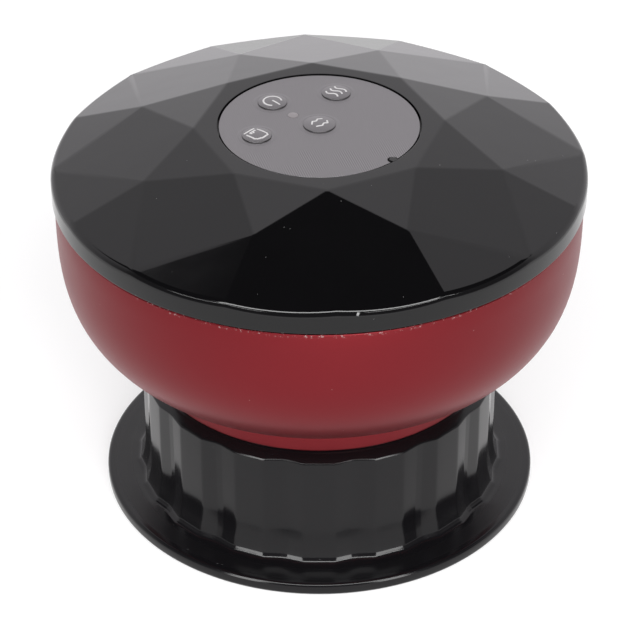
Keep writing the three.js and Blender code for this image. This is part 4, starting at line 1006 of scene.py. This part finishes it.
def sign_lines(name):
    """Each key's sign as lines of points in millimetres, upright towards the notch."""
    if name == "power":
        return [arc(1.58, radians(137), radians(403), 28), [(0.0, 0.0), (0.0, 1.85)]]
    if name == "heat":
        wave = [(0.34 * sin(TAU * i / 16), -1.4 + 2.8 * i / 16) for i in range(17)]
        return [[(x + shift, y) for x, y in wave] for shift in (-1.12, 0.0, 1.12)]
    if name == "vibration":
        return [
            [(1.36, -0.5), (0.5, -1.2), (0.0, -0.74), (-0.7, -1.12), (-1.42, -0.62)],
            [(-1.5, 0.4), (-0.98, 1.08), (-0.42, 0.68), (0.3, 1.02), (1.3, 0.46)],
        ]
    return [
        [(1.5, -1.62), (-1.0, -1.66)],
        [(1.48, -1.0), (1.42, 0.85), (1.08, 1.24), (0.15, 1.62), (-1.22, 1.46), (-1.45, 0.95), (-1.2, -1.1)],
        [(0.75, -0.97), (-0.7, -1.04)],
        [(0.58, -0.46), (0.75, -0.97)],
        [(0.28, -0.45), (-0.1, -0.94)],
    ]


def build_keys(p):
    """The four keys, domed above the panel, each with its raised sign."""
    low = KEY[0].z
    stem, edge = 1.3 * MM, 0.1
    flange_low, flange_top = low + 0.4 * MM, low + 1.2 * MM
    panel_top = DISC[1].z - p.sink
    line_radius, line_proud = p.sign_width * 0.7, 0.06 * MM
    for name, ((x, y), radius) in key_places(p).items():
        flange = radius + 0.8 * MM
        dome = [(radius * reach, panel_top + key_dome(p, reach, 1.0), 0)
                for reach in (0.93, 0.85, 0.75, 0.6, 0.4, 0.2, 0.0)]
        cap = turned([
            (0, low, 0), (stem, low, edge), (stem, flange_low, edge),
            (flange, flange_low, 0.15), (flange, flange_top, 0.15),
            (radius, flange_top, edge),
            (radius, panel_top + p.key_step, 0.18),
            *dome,
        ], SMALL_ROUND, on_panel(p, x, y), steps=5)
        add_piece(name + "_cap", cap, "button_grey", name + "_button", body=name + "_key", sharp=50)
        data = bpy.data.curves.new(name + "_sign", "CURVE")
        data.dimensions = "3D"
        data.bevel_depth, data.bevel_resolution = line_radius, 3
        data.use_fill_caps = True
        for line in sign_lines(name):
            add_line(data, [
                (*on_panel(p, x + a * MM, y + b * MM),
                 panel_top + key_dome(p, hypot(a, b) * MM, radius) + line_proud - line_radius)
                for a, b in in_short_steps(line, 0.2)])
        finish_piece(add_object(name + "_sign", data), name + "_key", "white_plastic", finish="sign_white")


def build_base():
    """The base plate that plugs the cup's bore, with its groove, its screw bosses and its nozzle."""
    low, top, outer = BASE[0].z, BASE[1].z, BASE[1].x
    skirt, groove = outer - 2.4 * MM, outer - 1.1 * MM
    web_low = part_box("heating_film")[1].z + 0.3 * MM
    web_top = web_low + 2.5 * MM
    seal_low, seal_top = (corner.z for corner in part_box("seal_ring"))
    bm = turned([
        (0, web_low, 0), (skirt, web_low, 0.4), (skirt, low, 0.4), (outer, low, 0.6),
        (outer, seal_low - 0.3 * MM, 0.15), (groove, seal_low - 0.3 * MM, 0),
        (groove, seal_top + 0.3 * MM, 0), (outer, seal_top + 0.3 * MM, 0.15),
        (outer, top, 0.4), (skirt, top, 0.3), (skirt, web_top, 0.5), (0, web_top, 0),
    ])
    tool = bmesh.new()
    places = [middle_of(f"base_screw_{i}") for i in (1, 2, 3)]
    air_hole, screw_hole = mm(0.7, 1.35)
    for radius, place in ((air_hole, (0.0, 0.0)), *((screw_hole, place) for place in places)):
        add_rod(tool, radius, web_low - 1 * MM, web_top + 1 * MM, place, 24)
    add_piece("base_shell", bm, "black_matt", "base_plate", cut=tool, sharp=40)
    bm = bmesh.new()
    for place in places:
        add_rod(bm, 4 * MM, web_top - 0.4 * MM, web_top + 3.2 * MM, place, 40, 0.25, bore=screw_hole)
    nozzle, nozzle_top = 1.3 * MM, web_top + 3.6 * MM
    add_turned(bm, [
        (air_hole, web_top - 0.5 * MM, 0), (nozzle, web_top - 0.5 * MM, 0),
        (nozzle, nozzle_top - 0.9 * MM, 0.1), (0.95 * MM, nozzle_top, 0.1),
        (air_hole, nozzle_top, 0.1),
    ], 32)
    add_piece("base_bosses", bm, "black_matt", sharp=40)


def build_heater():
    """The heat plate, whose face stands a step below its rim."""
    (_, _, low), (radius, _, top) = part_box("heat_plate")
    hole, step = 5.2 * MM, low + 0.25 * MM
    bm = turned([
        (hole, low, 0.3), (radius - 2.6 * MM, low, 0.5), (radius - 2.2 * MM, step, 0.5),
        (radius, step, 0.3), (radius, top, 0.2), (hole, top, 0.2),
    ])
    add_piece("heat_disc", bm, "heat_metal", "heat_plate", sharp=40)


def build_grille():
    """The filter's cap, with six air holes in a ring."""
    low, top = (corner.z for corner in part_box("filter_grille"))
    face, brim, plug = mm(4.3, 6.4, 4.9)
    brim_low, brim_top = low + 0.15 * MM, low + 0.6 * MM
    bm = turned([
        (0, low, 0), (face, low, 0.2), (face + 0.4 * MM, brim_low, 0.2),
        (brim, brim_low, 0.3), (brim, brim_top, 0.1),
        (plug, brim_top, 0), (plug, top, 0.1), (0, top, 0),
    ], SMALL_ROUND)
    tool = bmesh.new()
    for i in range(6):
        add_rod(tool, 0.8 * MM, low - 1 * MM, top + 1 * MM, polar(2.7 * MM, TAU * i / 6), 24)
    add_piece("grille_plate", bm, "black_matt", "filter_grille", cut=tool, sharp=35)


def build_seal():
    """The seal ring, with two lips round its outside."""
    (_, _, low), (outer, _, top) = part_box("seal_ring")
    inner, edge = outer - 1.45 * MM, 0.2
    bm = turned([
        (inner, low, edge), (outer - 0.5 * MM, low, edge), (outer, low + 0.5 * MM, edge),
        (outer - 0.3 * MM, (low + top) / 2, edge),
        (outer, top - 0.5 * MM, edge), (outer - 0.5 * MM, top, edge), (inner, top, edge),
    ])
    add_piece("seal_lip", bm, "silicone", "seal_ring", sharp=40)


def build_port():
    """The charging port: its shell, its tongue and two rows of contacts."""
    front, back = PORT[1].y, PORT[0].y
    middle = (PORT[0].z + PORT[1].z) / 2
    wall, tip = 0.4 * MM, front - 1.0 * MM
    shell = prisms([[(x, y, z) for x, z in port_outline(-inset)] for inset, y in (
        (0, back), (0, front - 0.12 * MM), (0.04 * MM, front - 0.03 * MM), (0.14 * MM, front),
        (wall - 0.08 * MM, front), (wall, front - 0.15 * MM), (wall, back + 0.5 * MM))])
    add_piece("port_shell", shell, "steel", "charge_socket", sharp=50)
    tongue = rounded_box(6.4 * MM, 0.8 * MM, 0.2, 3)
    tongue = prisms([[(x * grow, y, middle + z * grow) for x, z in tongue]
                     for y, grow in ((back + 0.4 * MM, 1.0), (tip - 0.15 * MM, 1.0), (tip, 0.88))])
    add_piece("port_tongue", tongue, "black_matt")
    strip = rounded_box(0.24 * MM, 0.05 * MM, 0.01, 2)
    contacts = prisms(*(
        [[((-2.1 + 0.6 * i) * MM + a, y, middle + side * (0.405 * MM + b)) for a, b in strip]
         for y in (back + 0.6 * MM, tip - 0.45 * MM)]
        for side in (-1, 1) for i in range(8)))
    add_piece("port_contacts", contacts, "copper", finish="contact_gold")


def build_spring():
    """The release valve's spring, wound in even turns."""
    low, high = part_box("valve_spring")
    centre = middle_of("valve_spring")
    wire, travel = mm(0.25, 0.8)
    radius, height = (high.x - low.x) / 2 - wire, high.z - low.z
    steps, sides, turns = 28, 10, 4
    parts = turns * steps
    section = [polar(wire, TAU * k / sides) for k in range(sides)]
    coil = prisms([
        [(*polar(radius + out, TAU * i / steps, centre), low.z + wire + (height - 2 * wire) * i / parts + up)
         for out, up in section]
        for i in range(parts + 1)])
    piece = add_piece("spring_coil", coil, "steel", "valve_spring", sharp=50)
    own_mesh(piece)


def dress_inside():
    """Gives every node that still shows the finish of its own slot."""
    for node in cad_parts.values():
        if node.hide_render:
            continue
        slot = node.data.materials[0].name
        for i in range(len(node.data.materials)):
            node.data.materials[i] = FINISHES[slot.split(".")[0]]


# Studio

def build_world(s):
    """A room of light: bright walls in front and at the sides, a dim one behind, a dark ceiling."""
    world = bpy.data.worlds.new("studio")
    world.use_nodes = True
    bpy.context.scene.world = world
    w = Nodes(world.node_tree)
    wall, open_wall, ceiling_light = 1.10, 0.22, 0.06
    _, y, z = w.axes(w.node("TexCoord", output="Generated"))
    across = (1 - z * z).high(1e-4) ** 0.5
    ahead = y / across
    middle = w.node("ValToRGB", {"stops": [
        (0.0, 1.0), (0.22, 1.0), (0.36, 0.8), (0.5, 0.2), (0.62, 0.2), (0.76, 0.9), (0.85, 1.0)]}, {0: z})
    walls = (wall + 0.38 * ahead.step(0.90, 1.0) * middle) * (1 - 0.20 * (0 - z).step(-0.06, 0.24))
    open_side = ahead.step(-0.25, 0.40)
    ceiling = (z + 0.25 * (1 - ahead.step(0.45, 0.75))).step(0.846, 0.874)
    light = (walls * open_side + open_wall * (1 - open_side)) * (1 - ceiling) + ceiling_light * ceiling
    below = (0 - z).step(0.02, 0.10)
    light = (light * (1 - below) + below * light.high(1.0)) * s.sky
    back = w.node("Background", {}, {"Strength": light, "Color": (1.0, 0.975, 1.006)})
    w.node("OutputWorld", {}, {"Surface": back})


def build_floor(s):
    """A pale floor that glows into white away from the cup, with a dimmer glow near it as painted shade."""
    bm = bmesh.new()
    radii = (0.0, s.floor_radius * 0.3, s.floor_radius)
    add_skin(bm, [level_ring(radius, -s.floor_drop, 96) for radius in radii], looped=False)
    floor = object_of("studio_floor", bm)
    f = Finish("floor")
    soft = f.noise(60, 2)
    # painted shade: the floor's glow is dimmer within about 120 mm of the cup
    away = f.radius().step(*mm(120, 350))
    floor.data.materials.append(f.surface(
        base_color=f.mix(soft, (0.54, 0.54, 0.54), (0.56, 0.56, 0.56)),
        roughness=0.9,
        emission_color=f.mix(away, (0.73, 0.73, 0.73), (1.0, 1.0, 1.0)),
        emission_strength=0.63,
    ))


def add_area_light(name, place, aim, size, watts):
    data = bpy.data.lights.new(name, "AREA")
    data.shape, data.size, data.size_y, data.energy = "RECTANGLE", *size, watts
    light = add_object(name, data)
    light.location = place
    light.rotation_euler = (Vector(aim) - Vector(place)).to_track_quat("-Z", "Y").to_euler()
    return light


def light_only(light, *names):
    """Keeps a light to the named pieces."""
    receivers = bpy.data.collections.new(light.name + "_receivers")
    for name in names:
        receivers.objects.link(bpy.data.objects[name])
    light.light_linking.receiver_collection = receivers


def build_lights(s):
    """A strip above the front, a soft light on the bowl, two tall on the cup, two thin on the rim."""
    aim = (0.0, 0.0, 0.05)
    add_area_light("front_strip", (0.0, -0.55, 0.78), aim, (1.3, 0.17), s.strip_light)
    soft = add_area_light("front_soft_light", (0.18, -0.91, 0.28), aim, (0.5, 0.36), s.front_light)
    light_only(soft, "bowl_shell", "studio_floor")
    for name, side in (("left", -1), ("right", 1)):
        place = (*polar(0.95, -pi / 2 + side * radians(36)), 0.36)
        tall = add_area_light(name + "_tall_light", place, (0.0, 0.0, 0.02), (0.28, 0.72), s.side_light)
        light_only(tall, "cup_shell")
        place = (*polar(0.80, -pi / 2 + side * radians(42)), 0.56)
        thin = add_area_light(name + "_thin_light", place, aim, (0.6, 0.035), s.rim_light)
        light_only(thin, "cover_shell")


def build_camera(s):
    data = bpy.data.cameras.new("camera")
    data.lens, data.sensor_width = s.lens, 36.0
    camera = add_object("camera", data)
    aim = Vector((s.aim_side, 0.0, s.aim_height))
    back = Vector((0.0, -cos(s.elevation), sin(s.elevation)))
    camera.location = aim + back * s.distance
    camera.rotation_euler = (-back).to_track_quat("-Z", "Y").to_euler()
    bpy.context.scene.camera = camera


# Operators

class MassagerOperator:
    bl_options = {"REGISTER", "UNDO"}


class MASSAGER_OT_finishes(MassagerOperator, Operator):
    """Make the material of every finish"""
    bl_idname = "massager.finishes"
    bl_label = "Finishes"

    def execute(self, context):
        make_finishes(context.scene.massager.finish)
        return {"FINISHED"}


class MASSAGER_OT_cup(MassagerOperator, Operator):
    """Build the fluted suction cup with its flange"""
    bl_idname = "massager.cup"
    bl_label = "Suction cup"

    def execute(self, context):
        build_cup(context.scene.massager.cup)
        return {"FINISHED"}


class MASSAGER_OT_bowl(MassagerOperator, Operator):
    """Build the red bowl with its neck ring and port opening"""
    bl_idname = "massager.bowl"
    bl_label = "Housing bowl"

    def execute(self, context):
        build_bowl(context.scene.massager.bowl)
        return {"FINISHED"}


class MASSAGER_OT_cover(MassagerOperator, Operator):
    """Build the faceted cover with its band, recess and tab"""
    bl_idname = "massager.cover"
    bl_label = "Faceted cover"

    def execute(self, context):
        cover, panel = context.scene.massager.cover, context.scene.massager.panel
        build_cover(cover, panel)
        build_tab(cover, panel)
        build_bosses(cover)
        return {"FINISHED"}


class MASSAGER_OT_panel(MassagerOperator, Operator):
    """Build the notched panel and the light's window"""
    bl_idname = "massager.panel"
    bl_label = "Control panel"

    def execute(self, context):
        build_panel(context.scene.massager.panel)
        return {"FINISHED"}


class MASSAGER_OT_keys(MassagerOperator, Operator):
    """Build the four keys with their printed signs"""
    bl_idname = "massager.keys"
    bl_label = "Keys and signs"

    def execute(self, context):
        build_keys(context.scene.massager.panel)
        return {"FINISHED"}


class MASSAGER_OT_base(MassagerOperator, Operator):
    """Build the base plate, heat plate, grille and seal inside the cup"""
    bl_idname = "massager.base"
    bl_label = "Base and heater"

    def execute(self, context):
        build_base()
        build_heater()
        build_grille()
        build_seal()
        return {"FINISHED"}


class MASSAGER_OT_port(MassagerOperator, Operator):
    """Build the charging port at the back"""
    bl_idname = "massager.port"
    bl_label = "Charging port"

    def execute(self, context):
        build_port()
        return {"FINISHED"}


class MASSAGER_OT_inside(MassagerOperator, Operator):
    """Wind the valve's spring, and give the other inner pieces their finishes"""
    bl_idname = "massager.inside"
    bl_label = "Inner pieces"

    def execute(self, context):
        build_spring()
        dress_inside()
        return {"FINISHED"}


class MASSAGER_OT_stage(MassagerOperator, Operator):
    """Set up the pale floor, the soft light and the camera"""
    bl_idname = "massager.stage"
    bl_label = "Stage"

    def execute(self, context):
        stage = context.scene.massager.stage
        build_world(stage)
        build_floor(stage)
        build_lights(stage)
        build_camera(stage)
        context.scene.view_settings.view_transform = "Standard"
        return {"FINISHED"}


STEPS = (
    MASSAGER_OT_finishes, MASSAGER_OT_cup, MASSAGER_OT_bowl, MASSAGER_OT_cover, MASSAGER_OT_panel,
    MASSAGER_OT_keys, MASSAGER_OT_base, MASSAGER_OT_port, MASSAGER_OT_inside, MASSAGER_OT_stage,
)


class MASSAGER_PT_pieces(Panel):
    """The massager's pieces, in building order"""
    bl_idname = "MASSAGER_PT_pieces"
    bl_label = "Cupping Massager"
    bl_space_type = "VIEW_3D"
    bl_region_type = "UI"
    bl_category = "Massager"

    def draw(self, context):
        for step in STEPS:
            self.layout.operator(step.bl_idname)


CLASSES = (CupSettings, BowlSettings, CoverSettings, PanelSettings, FinishSettings, StageSettings,
           MassagerSettings, *STEPS, MASSAGER_PT_pieces)


def register():
    for cls in CLASSES:
        bpy.utils.register_class(cls)
    bpy.types.Scene.massager = PointerProperty(type=MassagerSettings)


def unregister():
    del bpy.types.Scene.massager
    for cls in reversed(CLASSES):
        bpy.utils.unregister_class(cls)


def main():
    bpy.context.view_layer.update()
    register()
    bpy.ops.massager.finishes()
    bpy.ops.massager.cup()
    bpy.ops.massager.bowl()
    bpy.ops.massager.cover()
    bpy.ops.massager.panel()
    bpy.ops.massager.keys()
    bpy.ops.massager.base()
    bpy.ops.massager.port()
    bpy.ops.massager.inside()
    bpy.ops.massager.stage()


if __name__ == "__main__":
    main()
